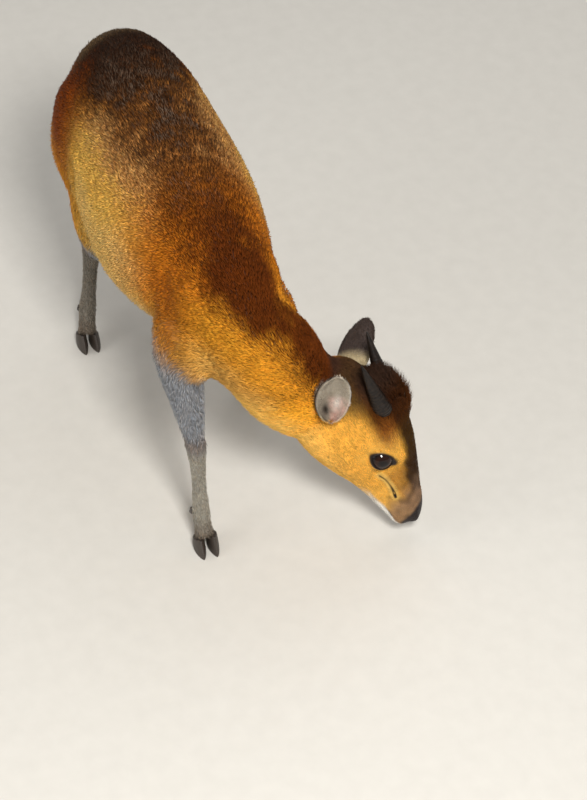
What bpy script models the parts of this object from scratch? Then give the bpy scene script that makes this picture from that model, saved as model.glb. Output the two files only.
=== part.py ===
"""A red-flanked duiker, life size, standing with its head lowered to graze.

Metres, +Z up. While it is modelled, +X is the way the trunk points, +Y is the animal's left and the
floor is Z = 0. At the end everything is moved so that the origin is the middle of its footprint.
Sizes are taken to the tips of the coat. The flesh is made as one body from lofts and muscles,
smoothed, and then parted with thin cuts into the pieces that a person would name.
"""

import math

import bmesh
import bpy
from mathutils import Matrix, Vector

# Driving dimensions
CUT = 0.0003  # the gap that parts two pieces
CORNER_CUT = 0.00045  # how far a cutter's corners move out, so that its faces move out by CUT or more
HEAD_LENGTH = 0.168  # back of the skull to the tip of the nose
EAR_LENGTH = 0.060
EAR_WIDTH = 0.034
EAR_WALL = 0.0022
HORN_LENGTH = 0.052
HORN_BASE_RADIUS = 0.0086
EYE_RADIUS = 0.0118
HOOF_LENGTH = 0.0275
HOOF_WIDTH = 0.0108

# Where the head is and how it is turned
NOSE_TIP = Vector((0.187, 0.140, 0.020))
HEAD_HEADING = math.radians(54)  # to the left of the trunk
HEAD_PITCH = math.radians(58.5)  # nose down
HEAD_ROLL = math.radians(-9)

# The trunk's sections from buttock to breast:
# along, top, bottom, half width, height of the widest level
TRUNK = [
    (-0.203, 0.288, 0.256, 0.014, 0.274),
    (-0.195, 0.311, 0.234, 0.032, 0.273),
    (-0.179, 0.332, 0.212, 0.046, 0.272),
    (-0.152, 0.347, 0.195, 0.056, 0.265),
    (-0.112, 0.354, 0.180, 0.066, 0.256),
    (-0.070, 0.348, 0.169, 0.070, 0.248),
    (-0.025, 0.338, 0.164, 0.0735, 0.241),
    (0.020, 0.331, 0.171, 0.069, 0.240),
    (0.062, 0.328, 0.182, 0.058, 0.242),
    (0.098, 0.322, 0.190, 0.047, 0.243),
    (0.128, 0.307, 0.190, 0.039, 0.241),
    (0.149, 0.286, 0.199, 0.029, 0.237),
    (0.162, 0.264, 0.212, 0.018, 0.235),
]

TRUNK_BEND = 0.14  # the spine curves to the left at both ends: metres aside for each square metre along

# The neck from between the shoulders to the skull: a point of its axis, half depth to its nape and
# throat, half width
NECK = [
    (Vector((0.074, -0.002, 0.252)), 0.041, 0.064),
    (Vector((0.106, -0.002, 0.245)), 0.041, 0.058),
    (Vector((0.132, 0.004, 0.231)), 0.0415, 0.051),
    (Vector((0.1480, 0.0215, 0.2130)), 0.0425, 0.0450),
    (Vector((0.1439, 0.0382, 0.1777)), 0.0405, 0.0370),
    (Vector((0.1409, 0.0559, 0.1541)), 0.0395, 0.0325),
    (Vector((0.1418, 0.0712, 0.1378)), 0.0355, 0.0305),
]

# The head's sections from the back of the skull to the nose, in the head's own frame:
# share of the head's length, top, bottom, half width
HEAD = [
    (-0.02, 0.028, -0.028, 0.022),
    (0.04, 0.036, -0.039, 0.030),
    (0.14, 0.041, -0.0445, 0.033),
    (0.26, 0.0445, -0.0455, 0.0335),
    (0.37, 0.0490, -0.0435, 0.0330),
    (0.46, 0.0485, -0.0390, 0.0310),
    (0.54, 0.0445, -0.0340, 0.0275),
    (0.63, 0.0385, -0.0290, 0.0220),
    (0.73, 0.0312, -0.0255, 0.0177),
    (0.83, 0.0235, -0.0225, 0.0158),
    (0.91, 0.0180, -0.0190, 0.0150),
    (0.965, 0.0125, -0.0150, 0.0130),
    (0.992, 0.0075, -0.0090, 0.0080),
]

# Each leg from inside the body to the coronet: a joint's place on the right leg, half width across
# the body, half depth along it
FORELEG = {
    "shoulder": (Vector((0.110, -0.036, 0.238)), 0.019, 0.036),
    "arm": (Vector((0.106, -0.042, 0.210)), 0.0205, 0.0365),
    "elbow": (Vector((0.109, -0.043, 0.187)), 0.0185, 0.0295),
    "forearm": (Vector((0.116, -0.0405, 0.160)), 0.0145, 0.0200),
    "above_knee": (Vector((0.122, -0.038, 0.128)), 0.0100, 0.0118),
    "knee": (Vector((0.123, -0.0365, 0.112)), 0.0090, 0.0108),
    "below_knee": (Vector((0.124, -0.0355, 0.094)), 0.0070, 0.0081),
    "cannon": (Vector((0.125, -0.035, 0.064)), 0.0060, 0.0072),
    "fetlock": (Vector((0.126, -0.0345, 0.036)), 0.0076, 0.0088),
    "pastern": (Vector((0.130, -0.0345, 0.022)), 0.0076, 0.0080),
    "coronet": (Vector((0.1335, -0.034, 0.013)), 0.0094, 0.0098),
}
HINDLEG = {
    "hip": (Vector((-0.122, -0.032, 0.246)), 0.023, 0.058),
    "thigh": (Vector((-0.114, -0.037, 0.214)), 0.0225, 0.050),
    "stifle": (Vector((-0.115, -0.039, 0.184)), 0.0205, 0.045),
    "gaskin": (Vector((-0.134, -0.036, 0.151)), 0.0155, 0.0275),
    "above_hock": (Vector((-0.154, -0.0320, 0.124)), 0.0088, 0.0125),
    "hock": (Vector((-0.165, -0.031, 0.108)), 0.0084, 0.0117),
    "below_hock": (Vector((-0.168, -0.0315, 0.091)), 0.0071, 0.0088),
    "cannon": (Vector((-0.168, -0.0345, 0.062)), 0.0063, 0.0074),
    "fetlock": (Vector((-0.168, -0.0375, 0.036)), 0.0078, 0.0089),
    "pastern": (Vector((-0.164, -0.0400, 0.022)), 0.0077, 0.0081),
    "coronet": (Vector((-0.1605, -0.0415, 0.013)), 0.0094, 0.0098),
}

# How far each left leg's hoof stands from the mirror image of the right one: ahead, to the left
LEFT_FORE_STEP = Vector((-0.172, 0.047, 0.0))
LEFT_HIND_STEP = Vector((0.022, 0.0, 0.0))

# Muscles that stand out of the lofts, on the right side: centre and radii
MUSCLES = {
    "shoulder_blade": (Vector((0.098, -0.029, 0.246)), Vector((0.040, 0.020, 0.052))),
    "upper_arm": (Vector((0.120, -0.038, 0.216)), Vector((0.028, 0.020, 0.032))),
    "haunch": (Vector((-0.132, -0.037, 0.250)), Vector((0.058, 0.029, 0.068))),
    "thigh_back": (Vector((-0.163, -0.036, 0.233)), Vector((0.033, 0.025, 0.054))),
    "flank_fold": (Vector((-0.083, -0.033, 0.202)), Vector((0.040, 0.021, 0.028))),
}
# The same on the head, in its own frame, as shares of the head's length along it
HEAD_MUSCLES = {
    "cheek": (0.27, 0.0185, -0.013, Vector((0.034, 0.0145, 0.023))),
    "brow": (0.46, 0.0195, 0.0260, Vector((0.024, 0.0105, 0.0115))),
    "crest": (0.250, 0.0000, 0.0420, Vector((0.0330, 0.0120, 0.0215))),
    "lip": (0.90, 0.0085, -0.0060, Vector((0.0150, 0.0080, 0.0095))),
    "nostril": (0.955, 0.0062, 0.0030, Vector((0.0085, 0.0072, 0.0085))),
}

TAIL = [
    (Vector((-0.186, 0.005, 0.308)), 0.0115, 0.0110),
    (Vector((-0.203, 0.006, 0.300)), 0.0100, 0.0100),
    (Vector((-0.216, 0.006, 0.283)), 0.0085, 0.0085),
    (Vector((-0.222, 0.006, 0.261)), 0.0080, 0.0080),
    (Vector((-0.224, 0.006, 0.241)), 0.0072, 0.0072),
    (Vector((-0.224, 0.006, 0.227)), 0.0040, 0.0040),
]

# Head parts in the head's frame, for the left side: the base, then directions
EYE = Vector((0.0815, 0.0222, 0.0172))
HORN_BASE = Vector((0.0425, 0.0145, 0.0405))
HORN_AXIS = Vector((-0.961, 0.190, 0.160))
HORN_BEND = 0.0015
# Share of the horn's length, radius next to the base's
HORN_OUTLINE = [(-0.16, 0.9), (0.0, 1.0), (0.12, 0.94), (0.28, 0.73), (0.60, 0.48), (0.88, 0.24), (1.0, 0.08)]
EARS = {
    1: (Vector((0.028, 0.0265, 0.0150)), Vector((-0.24, 0.93, 0.20)), Vector((0.97, 0.02, 0.04))),
    -1: (Vector((0.0146, -0.0489, 0.0108)), Vector((-0.80, -0.27, 0.54)), Vector((0.27, -0.96, -0.08))),
}
EAR_SIDES = 7
EAR_STEPS = 8
EAR_BURIED = -0.2  # how far the ear's root lies in the head, as a share of its length
EAR_WIDEST = 0.45
EAR_ROOT_WIDTH = 0.56
EAR_CURL_BASE = 125  # degrees that the shell curls each way from its back
EAR_CURL_TIP = 62
EAR_CURL_SHARE = 0.55  # the share of the ear's length past which the curl stays the same
EAR_TIP_WIDTH = 0.16
EAR_TIP_POWERS = (2.2, 0.62)  # how round the tip is, along and across
EAR_FLATTENING = 0.45  # how much shallower the cup is at the tip
EAR_LEAN = 0.004
EAR_LEAST_REACH = 0.0004

# A claw's rings from top to sole: height next to the coronet's, length, width, distance ahead
HOOF_RINGS = [
    (1.0, 0.66, 0.86, -0.0005),
    (0.5, 0.86, 0.98, 0.0015),
    (0.12, 1.02, 1.0, 0.0035),
    (0.0, 0.98, 0.94, 0.0036),
]
HOOF_SIDES = 12
HOOF_CLEFT = 0.0012
HOOF_SPLAY = math.radians(4)
TOE_TAPER = 0.42
TOE_POWER = 1.5
DEWCLAW_RADIUS = 0.0032
DEWCLAW_ROOT = Vector((-0.0050, 0.0056, -0.0015))  # ahead, aside and up from the middle of the fetlock
DEWCLAW_REACH = Vector((-0.0060, 0.0, -0.0088))
DEWCLAW_OUTLINE = ((0, 1.0), (0.45, 1.0), (0.8, 0.75), (1.0, 0.4))  # share of its length, radius

# Where the cut behind the head crosses the head's axis, and its slant
HEAD_CUT_PLACE = Matrix.Translation((0.004, 0, 0))
HEAD_CUT_SLANT = math.radians(-18)
HEAD_CELL = Vector((0.26, 0.15, 0.20))
SHARP_EDGE = math.radians(40)
SLIVER = 0.00002  # edges shorter than this are closed up
SLEEVE = 0.009  # how much wider than a limb the cut round its root is

VOXEL = 0.004
SOFTEN_ROUNDS = 6
FLESH_TRIANGLES = 3800
BODY_SIDES = 28
LEG_SIDES = 12
TAIL_SIDES = 10
HORN_SIDES = 9
DEWCLAW_SIDES = 6

FINISHES = {
    "flank": ((0.55, 0.22, 0.05), 0.8),
    "leg": ((0.24, 0.22, 0.21), 0.8),
    "horn": ((0.03, 0.027, 0.025), 0.45),
    "hoof": ((0.035, 0.03, 0.028), 0.5),
    "eye": ((0.02, 0.01, 0.008), 0.05),
    "ear": ((0.30, 0.24, 0.20), 0.8),
}


def clear_scene():
    for obj in list(bpy.data.objects):
        bpy.data.objects.remove(obj)


def finish(name):
    """The material of that name, made when it is first asked for."""
    material = bpy.data.materials.get(name)
    if material is None:
        colour, roughness = FINISHES[name]
        material = bpy.data.materials.new(name)
        material.use_nodes = True
        shader = material.node_tree.nodes["Principled BSDF"]
        shader.inputs["Base Color"].default_value = (*colour, 1)
        shader.inputs["Roughness"].default_value = roughness
        shader.inputs["Metallic"].default_value = 0.0
    return material


def made_object(name, bm, material=None):
    """A new object from bm, which it frees."""
    bmesh.ops.recalc_face_normals(bm, faces=bm.faces)
    mesh = bpy.data.meshes.new(name)
    bm.to_mesh(mesh)
    bm.free()
    obj = bpy.data.objects.new(name, mesh)
    bpy.context.scene.collection.objects.link(obj)
    if material:
        mesh.materials.append(finish(material))
        mesh.shade_smooth()
    return obj


def helper(obj):
    """Marks a cutter or a guide, which isn't part of the animal."""
    obj.hide_render = True
    obj.display_type = "WIRE"
    return obj


def evaluated_copy(obj, name):
    """A new helper with obj's mesh as its modifiers leave it."""
    bpy.context.view_layer.update()
    graph = bpy.context.evaluated_depsgraph_get()
    mesh = bpy.data.meshes.new_from_object(obj.evaluated_get(graph))
    mesh.transform(obj.matrix_world)
    copy = bpy.data.objects.new(name, mesh)
    bpy.context.scene.collection.objects.link(copy)
    return helper(copy)


def between(a, b, c, d, t):
    """A smooth curve's value at share t of the way from b to c, for numbers or vectors."""
    return (
        b
        + (c - a) * (0.5 * t)
        + (a * 2 - b * 5 + c * 4 - d) * (0.5 * t * t)
        + (b * 3 - a - c * 3 + d) * (0.5 * t * t * t)
    )


def refined(stations, steps):
    """The stations with more between them, each value following a smooth curve."""
    fine = []
    last = len(stations) - 1
    for i in range(last):
        near = [stations[max(0, min(last, i + k))] for k in (-1, 0, 1, 2)]
        for step in range(steps):
            fine.append(tuple(between(*values, step / steps) for values in zip(*near)))
    fine.append(tuple(stations[last]))
    return fine


def add_ring(bm, centre, side, up, half_width, above, below, sides):
    """A closed ring of vertices round centre, egg-shaped where above and below differ."""
    ring = []
    for i in range(sides):
        angle = 2 * math.pi * i / sides
        rise = math.sin(angle)
        height = (above if rise > 0 else below) * rise
        ring.append(bm.verts.new(centre + side * (half_width * math.cos(angle)) + up * height))
    return ring


def bridge(bm, rings):
    """Faces between the rings, and a cap on each end."""
    sides = len(rings[0])
    for near, far in zip(rings, rings[1:]):
        for i in range(sides):
            j = (i + 1) % sides
            bm.faces.new((near[i], near[j], far[j], far[i]))
    bm.faces.new(rings[0])
    bm.faces.new(rings[-1])


def trunk_loft():
    bm = bmesh.new()
    rings = []
    for along, top, bottom, half_width, widest in refined(TRUNK, 3):
        centre = Vector((along, TRUNK_BEND * along * along, widest))
        above, below = top - widest, widest - bottom
        rings.append(
            add_ring(bm, centre, Vector((0, 1, 0)), Vector((0, 0, 1)), half_width, above, below, BODY_SIDES)
        )
    bridge(bm, rings)
    return helper(made_object("trunk_loft", bm))


def limb_loft(name, stations, side_hint, sides, steps=3, material=None):
    """A loft along a limb's axis. A station is a point, half width along side_hint, half depth."""
    fine = refined(stations, steps)
    points = [station[0] for station in fine]
    bm = bmesh.new()
    rings = []
    for i, (point, half_width, half_depth) in enumerate(fine):
        along = (points[min(i + 1, len(points) - 1)] - points[max(i - 1, 0)]).normalized()
        side = (side_hint - along * side_hint.dot(along)).normalized()
        front = along.cross(side)
        rings.append(add_ring(bm, point, side, front, half_width, half_depth, half_depth, sides))
    bridge(bm, rings)
    return made_object(name, bm, material)


def head_frame():
    """The head's frame in the body's: X to the nose, Y to its left, Z out of the forehead."""
    turn = (
        Matrix.Rotation(HEAD_HEADING, 4, "Z")
        @ Matrix.Rotation(HEAD_PITCH, 4, "Y")
        @ Matrix.Rotation(HEAD_ROLL, 4, "X")
    )
    back_of_skull = NOSE_TIP - turn.to_3x3() @ Vector((HEAD_LENGTH, 0, 0))
    return Matrix.Translation(back_of_skull) @ turn


def head_loft(frame):
    bm = bmesh.new()
    rings = []
    for share, top, bottom, half_width in refined(HEAD, 3):
        centre = Vector((share * HEAD_LENGTH, 0, 0))
        rings.append(
            add_ring(bm, centre, Vector((0, 1, 0)), Vector((0, 0, 1)), half_width, top, -bottom, BODY_SIDES)
        )
    bridge(bm, rings)
    bm.transform(frame)
    return helper(made_object("head_loft", bm))


def ball(name, centre, radii, frame=None):
    bm = bmesh.new()
    bmesh.ops.create_icosphere(bm, subdivisions=3, radius=1)
    bm.transform(Matrix.Translation(centre) @ Matrix.Diagonal((*radii, 1)))
    if frame:
        bm.transform(frame)
    return helper(made_object(name, bm))


def muscles(frame):
    made = []
    for side, word in ((1, "right"), (-1, "left")):
        for name, (centre, radii) in MUSCLES.items():
            place = Vector((centre.x, centre.y * side, centre.z))
            made.append(ball(f"{name}_{word}", place, radii))
        for name, (share, out, up, radii) in HEAD_MUSCLES.items():
            place = Vector((share * HEAD_LENGTH, -out * side, up))
            made.append(ball(f"{name}_{word}", place, radii, frame))
    return made


def stepped(joints, step):
    """The left leg: the right one mirrored, and swung so that its hoof moves by step."""
    top = max(point.z for point, *_ in joints.values())
    swung = {}
    for name, (point, half_width, half_depth) in joints.items():
        drop = (top - point.z) / top
        share = drop * drop * (3 - 2 * drop)
        place = Vector((point.x, -point.y, point.z)) + step * share
        swung[name] = (place, half_width, half_depth)
    return swung


def legs():
    """The joints of each leg, by name."""
    return {
        "foreleg_right": FORELEG,
        "foreleg_left": stepped(FORELEG, LEFT_FORE_STEP),
        "hindleg_right": HINDLEG,
        "hindleg_left": stepped(HINDLEG, LEFT_HIND_STEP),
    }


def split_joint(leg):
    """The joint below which a leg is its own slender piece, and the one above it."""
    return ("knee", "above_knee") if leg.startswith("fore") else ("hock", "above_hock")


def upper_leg_loft(leg, joints):
    """The leg from the body to a little below the knee or hock, for the fused flesh."""
    names = list(joints)
    end = names.index(split_joint(leg)[0]) + 2
    stations = [joints[name] for name in names[:end]]
    return helper(limb_loft(f"{leg}_loft", stations, Vector((0, 1, 0)), LEG_SIDES * 2))


def fused_flesh(pieces):
    """One smooth closed mesh round all the pieces."""
    bm = bmesh.new()
    for piece in pieces:
        bm.from_mesh(piece.data)
    whole = helper(made_object("flesh_fused", bm))
    remesh = whole.modifiers.new("one_skin", "REMESH")
    remesh.mode = "VOXEL"
    remesh.voxel_size = VOXEL
    soften = whole.modifiers.new("soften", "SMOOTH")
    soften.factor = 0.5
    soften.iterations = SOFTEN_ROUNDS
    smooth = evaluated_copy(whole, "flesh_smooth")
    thin = smooth.modifiers.new("thin", "DECIMATE")
    thin.ratio = FLESH_TRIANGLES / (2 * len(smooth.data.polygons))
    return evaluated_copy(smooth, "flesh")


def room_of(verts):
    """The volume of the box round the vertices."""
    spans = [max(v.co[axis] for v in verts) - min(v.co[axis] for v in verts) for axis in range(3)]
    return spans[0] * spans[1] * spans[2]


def largest_body(mesh):
    """Deletes every loose piece of the mesh but the one that spans the most room."""
    bm = bmesh.new()
    bm.from_mesh(mesh)
    left = set(bm.verts)
    bodies = []
    while left:
        found = [left.pop()]
        for vert in found:
            for edge in vert.link_edges:
                other = edge.other_vert(vert)
                if other in left:
                    left.remove(other)
                    found.append(other)
        bodies.append(found)
    bodies.sort(key=room_of)
    for body in bodies[:-1]:
        bmesh.ops.delete(bm, geom=body, context="VERTS")
    bmesh.ops.dissolve_degenerate(bm, dist=SLIVER, edges=bm.edges)
    bm.to_mesh(mesh)
    bm.free()


def carved(name, source, material, inside=None, outside=()):
    """A node: the largest body of source that lies in inside and clear of everything in outside."""
    work = helper(source.copy())
    work.data = source.data.copy()
    bpy.context.scene.collection.objects.link(work)
    steps = [("INTERSECT", inside)] if inside else []
    steps += [("DIFFERENCE", cutter) for cutter in outside]
    for operation, cutter in steps:
        modifier = work.modifiers.new(operation.lower(), "BOOLEAN")
        modifier.operation = operation
        modifier.object = cutter
    node = evaluated_copy(work, name)
    bpy.data.objects.remove(work)
    largest_body(node.data)
    node.data.materials.clear()
    node.data.materials.append(finish(material))
    node.data.polygons.foreach_set("material_index", [0] * len(node.data.polygons))
    node.data.set_sharp_from_angle(angle=SHARP_EDGE)
    node.hide_render = False
    node.display_type = "TEXTURED"
    return node


def swollen(obj, amount):
    """A helper: obj's mesh with every vertex moved out by amount."""
    mesh = obj.data.copy()
    for vertex, normal in zip(mesh.vertices, [vertex.normal.copy() for vertex in mesh.vertices]):
        vertex.co += normal * amount
    copy = bpy.data.objects.new(f"{obj.name}_swollen", mesh)
    bpy.context.scene.collection.objects.link(copy)
    return helper(copy)


def sleeve(name, stations, side_hint):
    """A cutter: the convex hull of a limb's loft made wider by SLEEVE."""
    wide = [(point, width + SLEEVE, depth + SLEEVE) for point, width, depth in stations]
    loft = limb_loft(name, wide, side_hint, LEG_SIDES, 1)
    bm = bmesh.new()
    for vertex in loft.data.vertices:
        bm.verts.new(vertex.co)
    bpy.data.objects.remove(loft)
    bmesh.ops.convex_hull(bm, input=bm.verts)
    bmesh.ops.delete(bm, geom=[vert for vert in bm.verts if not vert.link_faces], context="VERTS")
    return helper(made_object(name, bm))


def leg_sleeve(leg, joints):
    names = list(joints)
    stations = [joints[name] for name in names[1 : names.index(split_joint(leg)[0]) + 1]]
    return sleeve(f"{leg}_sleeve", stations, Vector((0, 1, 0)))


def head_cell(frame, grow):
    """A cutter round the head, whose back face slants from behind the ears to the throat."""
    bm = bmesh.new()
    bmesh.ops.create_cube(bm, size=1)
    size = HEAD_CELL + Vector((2, 2, 2)) * grow
    slant = Matrix.Rotation(HEAD_CUT_SLANT, 4, "Y")
    middle = Matrix.Translation((size.x / 2 - grow, 0, 0))
    bm.transform(frame @ HEAD_CUT_PLACE @ slant @ middle @ Matrix.Diagonal((*size, 1)))
    return helper(made_object(f"head_cell_{grow}", bm))


def ear_ring(bm, frame, share, side):
    """One C-shaped section of the ear's shell, at that share of its length."""
    half_width = EAR_WIDTH / 2 * ear_outline(share)
    curl = math.radians(EAR_CURL_BASE + (EAR_CURL_TIP - EAR_CURL_BASE) * min(1, share / EAR_CURL_SHARE))
    radius = half_width / math.sin(min(curl, math.pi / 2))
    depth = -radius * math.cos(curl)
    lean = EAR_LEAN * share * share * side
    ring = []
    for wall, order in ((0, range(EAR_SIDES + 1)), (EAR_WALL, range(EAR_SIDES, -1, -1))):
        for i in order:
            angle = curl * (2 * i / EAR_SIDES - 1)
            reach = max(radius - wall, EAR_LEAST_REACH)
            across = reach * math.sin(angle) + lean
            back = -reach * math.cos(angle) - depth
            place = Vector((share * EAR_LENGTH, across, back * ear_cup(share)))
            ring.append(bm.verts.new(frame @ place))
    return ring


def ear_outline(share):
    """The ear's half width at that share of its length, where 1 is its widest."""
    if share < EAR_WIDEST:
        return EAR_ROOT_WIDTH + (1 - EAR_ROOT_WIDTH) * math.sin(math.pi / 2 * share / EAR_WIDEST)
    past = (share - EAR_WIDEST) / (1 - EAR_WIDEST)
    along, across = EAR_TIP_POWERS
    return max(EAR_TIP_WIDTH, (1 - past**along) ** across)


def ear_cup(share):
    """How deep the shell is cupped there, next to a full curl."""
    return 1.0 - EAR_FLATTENING * share


def ear_frame(head, side):
    """X along the ear to its tip, Z out of its opening. side is 1 on the left, -1 on the right."""
    base, along, opening = EARS[side]
    tip = along.normalized()
    normal = (opening - tip * opening.dot(tip)).normalized()
    across = normal.cross(tip)
    turn = Matrix((tip, across, normal)).transposed().to_4x4()
    return head @ Matrix.Translation(base) @ turn


def ear_shell(head, side):
    bm = bmesh.new()
    frame = ear_frame(head, side)
    rings = []
    for i in range(EAR_STEPS + 1):
        share = EAR_BURIED + (1 - EAR_BURIED) * i / EAR_STEPS
        rings.append(ear_ring(bm, frame, share, side))
    bridge(bm, rings)
    return helper(made_object(f"ear_shell_{side}", bm))


def horn_cone(head, side):
    """A horn: straight and round, with the swollen base and the few rings of an adult's."""
    base, along = HORN_BASE, HORN_AXIS.normalized()
    start = Vector((base.x, base.y * side, base.z))
    axis = Vector((along.x, along.y * side, along.z)).normalized()
    stations = []
    for share, radius in HORN_OUTLINE:
        bend = Vector((0, 0, 1)) * (HORN_BEND * share * share)
        place = head @ (start + axis * (HORN_LENGTH * share) + bend)
        stations.append((place, HORN_BASE_RADIUS * radius, HORN_BASE_RADIUS * radius))
    return helper(limb_loft(f"horn_cone_{side}", stations, head.to_3x3() @ Vector((0, 1, 0)), HORN_SIDES, 1))


def eyeball(head, side, grow):
    bm = bmesh.new()
    bmesh.ops.create_icosphere(bm, subdivisions=2, radius=EYE_RADIUS + grow)
    bm.transform(head @ Matrix.Translation((EYE.x, EYE.y * side, EYE.z)))
    return helper(made_object(f"eyeball_{side}_{grow}", bm))


def hoof_outline(angle, length, width):
    """A point of a claw's outline: round at the heel, pointed at the toe."""
    ahead = math.cos(angle)
    return length / 2 * ahead, width / 2 * math.sin(angle) * (1 - TOE_TAPER * max(0, ahead) ** TOE_POWER)


def claw(name, coronet, along, heading, side):
    """One claw of a cloven hoof, from the coronet's slanting plane to its flat sole."""
    forward = Vector((math.cos(heading), math.sin(heading), 0))
    across = Vector((-forward.y, forward.x, 0)) * side
    bm = bmesh.new()
    rings = []
    for height, length, width, ahead in HOOF_RINGS:
        ring = []
        for i in range(HOOF_SIDES):
            a, b = hoof_outline(2 * math.pi * i / HOOF_SIDES, HOOF_LENGTH * length, HOOF_WIDTH * width)
            offset = forward * (a + ahead) + across * (HOOF_WIDTH / 2 + HOOF_CLEFT / 2 + b)
            place = coronet + offset + along * CUT
            top = place.z - (along.x * offset.x + along.y * offset.y) / along.z
            ring.append(bm.verts.new((place.x, place.y, top * height)))
        rings.append(ring)
    bridge(bm, rings)
    return made_object(name, bm, "hoof")


def dewclaw(name, fetlock, heading, side):
    """The small claw behind the fetlock, pointing down and back."""
    forward = Vector((math.cos(heading), math.sin(heading), 0))
    across = Vector((-forward.y, forward.x, 0)) * side
    turn = Matrix((forward, across, Vector((0, 0, 1)))).transposed()
    start = fetlock + turn @ DEWCLAW_ROOT
    end = start + turn @ DEWCLAW_REACH
    stations = [
        (start.lerp(end, share), DEWCLAW_RADIUS * size, DEWCLAW_RADIUS * size)
        for share, size in DEWCLAW_OUTLINE
    ]
    return helper(limb_loft(name + "_whole", stations, across, DEWCLAW_SIDES, 1))


def last_direction(stations):
    fine = refined(stations, 2)
    return (fine[-1][0] - fine[-2][0]).normalized()


def foot(leg, joints, lower):
    """The two claws and two dewclaws of one foot."""
    side_word = leg.split("_")[1]
    out = 1 if side_word == "left" else -1
    stations = list(joints.values())
    coronet = joints["coronet"][0]
    heading = HOOF_SPLAY * out
    nodes = []
    for word, side in (("outer", out), ("inner", -out)):
        name = leg.replace("leg", "") + f"_{word}"
        nodes.append(claw(f"hoof_{name}", coronet, last_direction(stations), heading, side))
        whole = dewclaw(f"dewclaw_{name}", joints["fetlock"][0], heading, side)
        nodes.append(carved(f"dewclaw_{name}", whole, "hoof", outside=[swollen(lower, CORNER_CUT)]))
    return nodes


def lower_leg(leg, joints, stop):
    """The slender leg from the knee or hock to the coronet."""
    names = list(joints)
    stations = [joints[name] for name in names[names.index(split_joint(leg)[1]) :]]
    whole = helper(limb_loft(f"{leg}_lower_whole", stations, Vector((0, 1, 0)), LEG_SIDES, 2))
    return carved(f"{leg}_lower", whole, "leg", outside=[stop])


def stand_on_origin(nodes):
    """Parents the nodes to an empty that puts the middle of their footprint at the origin."""
    bpy.context.view_layer.update()
    corners = [node.matrix_world @ vertex.co for node in nodes for vertex in node.data.vertices]
    low = Vector([min(corner[axis] for corner in corners) for axis in range(3)])
    high = Vector([max(corner[axis] for corner in corners) for axis in range(3)])
    duiker = bpy.data.objects.new("duiker", None)
    bpy.context.scene.collection.objects.link(duiker)
    duiker.location = (-(low.x + high.x) / 2, -(low.y + high.y) / 2, -low.z)
    for node in nodes:
        node.parent = duiker


def main():
    clear_scene()
    head = head_frame()
    leg_joints = legs()
    neck_loft = helper(limb_loft("neck_loft", NECK, Vector((0, 1, 0)), BODY_SIDES))
    lofts = [trunk_loft(), neck_loft, head_loft(head)]
    lofts += [upper_leg_loft(leg, joints) for leg, joints in leg_joints.items()]
    flesh = fused_flesh(lofts + muscles(head))

    exact = {leg: leg_sleeve(leg, joints) for leg, joints in leg_joints.items()}
    grown = {leg: swollen(cutter, CORNER_CUT) for leg, cutter in exact.items()}
    neck_cell = sleeve("neck_sleeve", NECK[2:], Vector((0, 1, 0)))
    beside_neck = [head_cell(head, CUT), grown["foreleg_right"], grown["foreleg_left"]]
    sockets = [eyeball(head, side, CUT) for side in (1, -1)]
    nodes = [
        carved("trunk", flesh, "flank", outside=[*grown.values(), swollen(neck_cell, CORNER_CUT)]),
        carved("neck", flesh, "flank", inside=neck_cell, outside=beside_neck),
        carved("head", flesh, "flank", inside=head_cell(head, 0), outside=sockets),
    ]
    trunk, head_node = nodes[0], nodes[2]
    tail = helper(limb_loft("tail_whole", TAIL, Vector((0, 1, 0)), TAIL_SIDES, 2))
    nodes.append(carved("tail", tail, "flank", outside=[swollen(trunk, CORNER_CUT)]))

    swollen_head = swollen(head_node, CORNER_CUT)
    swollen_neck = swollen(nodes[1], CORNER_CUT)
    for side, word in ((1, "left"), (-1, "right")):
        horn = carved(f"horn_{word}", horn_cone(head, side), "horn", outside=[swollen_head])
        clear = [swollen_head, swollen_neck, swollen(horn, CORNER_CUT)]
        nodes += [horn, carved(f"ear_{word}", ear_shell(head, side), "ear", outside=clear)]
        nodes.append(carved(f"eye_{word}", eyeball(head, side, 0), "eye"))

    for leg, joints in leg_joints.items():
        nodes.append(carved(f"{leg}_upper", flesh, "flank", inside=exact[leg]))
        lower = lower_leg(leg, joints, grown[leg])
        nodes.append(lower)
        nodes += foot(leg, joints, lower)
    stand_on_origin(nodes)


main()
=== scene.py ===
# %% [markdown]
# # A red-flanked duiker, head down and feeding
# The frame holds plain solids of the animal. This lesson puts the looks over them: one skin with the
# folds of the face, a coat of small solid tufts, eyes, horns and hooves. Everything rides on "root",
# because a still model has one body.

# %% The frame
import math

import bpy
import numpy as np
from mathutils import Matrix, Vector


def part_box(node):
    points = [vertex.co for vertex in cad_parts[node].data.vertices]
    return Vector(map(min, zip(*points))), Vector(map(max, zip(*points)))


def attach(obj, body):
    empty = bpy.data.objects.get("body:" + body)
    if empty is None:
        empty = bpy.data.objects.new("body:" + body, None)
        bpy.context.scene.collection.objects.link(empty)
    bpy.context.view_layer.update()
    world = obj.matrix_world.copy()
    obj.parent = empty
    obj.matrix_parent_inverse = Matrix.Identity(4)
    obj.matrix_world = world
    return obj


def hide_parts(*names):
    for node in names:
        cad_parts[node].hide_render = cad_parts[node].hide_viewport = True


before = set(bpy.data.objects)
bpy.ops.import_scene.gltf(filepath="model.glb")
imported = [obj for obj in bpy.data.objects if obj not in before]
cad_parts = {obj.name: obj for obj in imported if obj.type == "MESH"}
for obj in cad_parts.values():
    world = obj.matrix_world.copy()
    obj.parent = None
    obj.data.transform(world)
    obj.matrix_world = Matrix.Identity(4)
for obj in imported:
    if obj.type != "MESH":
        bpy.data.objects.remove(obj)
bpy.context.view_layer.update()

SIDES = {"left": 1, "right": -1}


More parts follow.
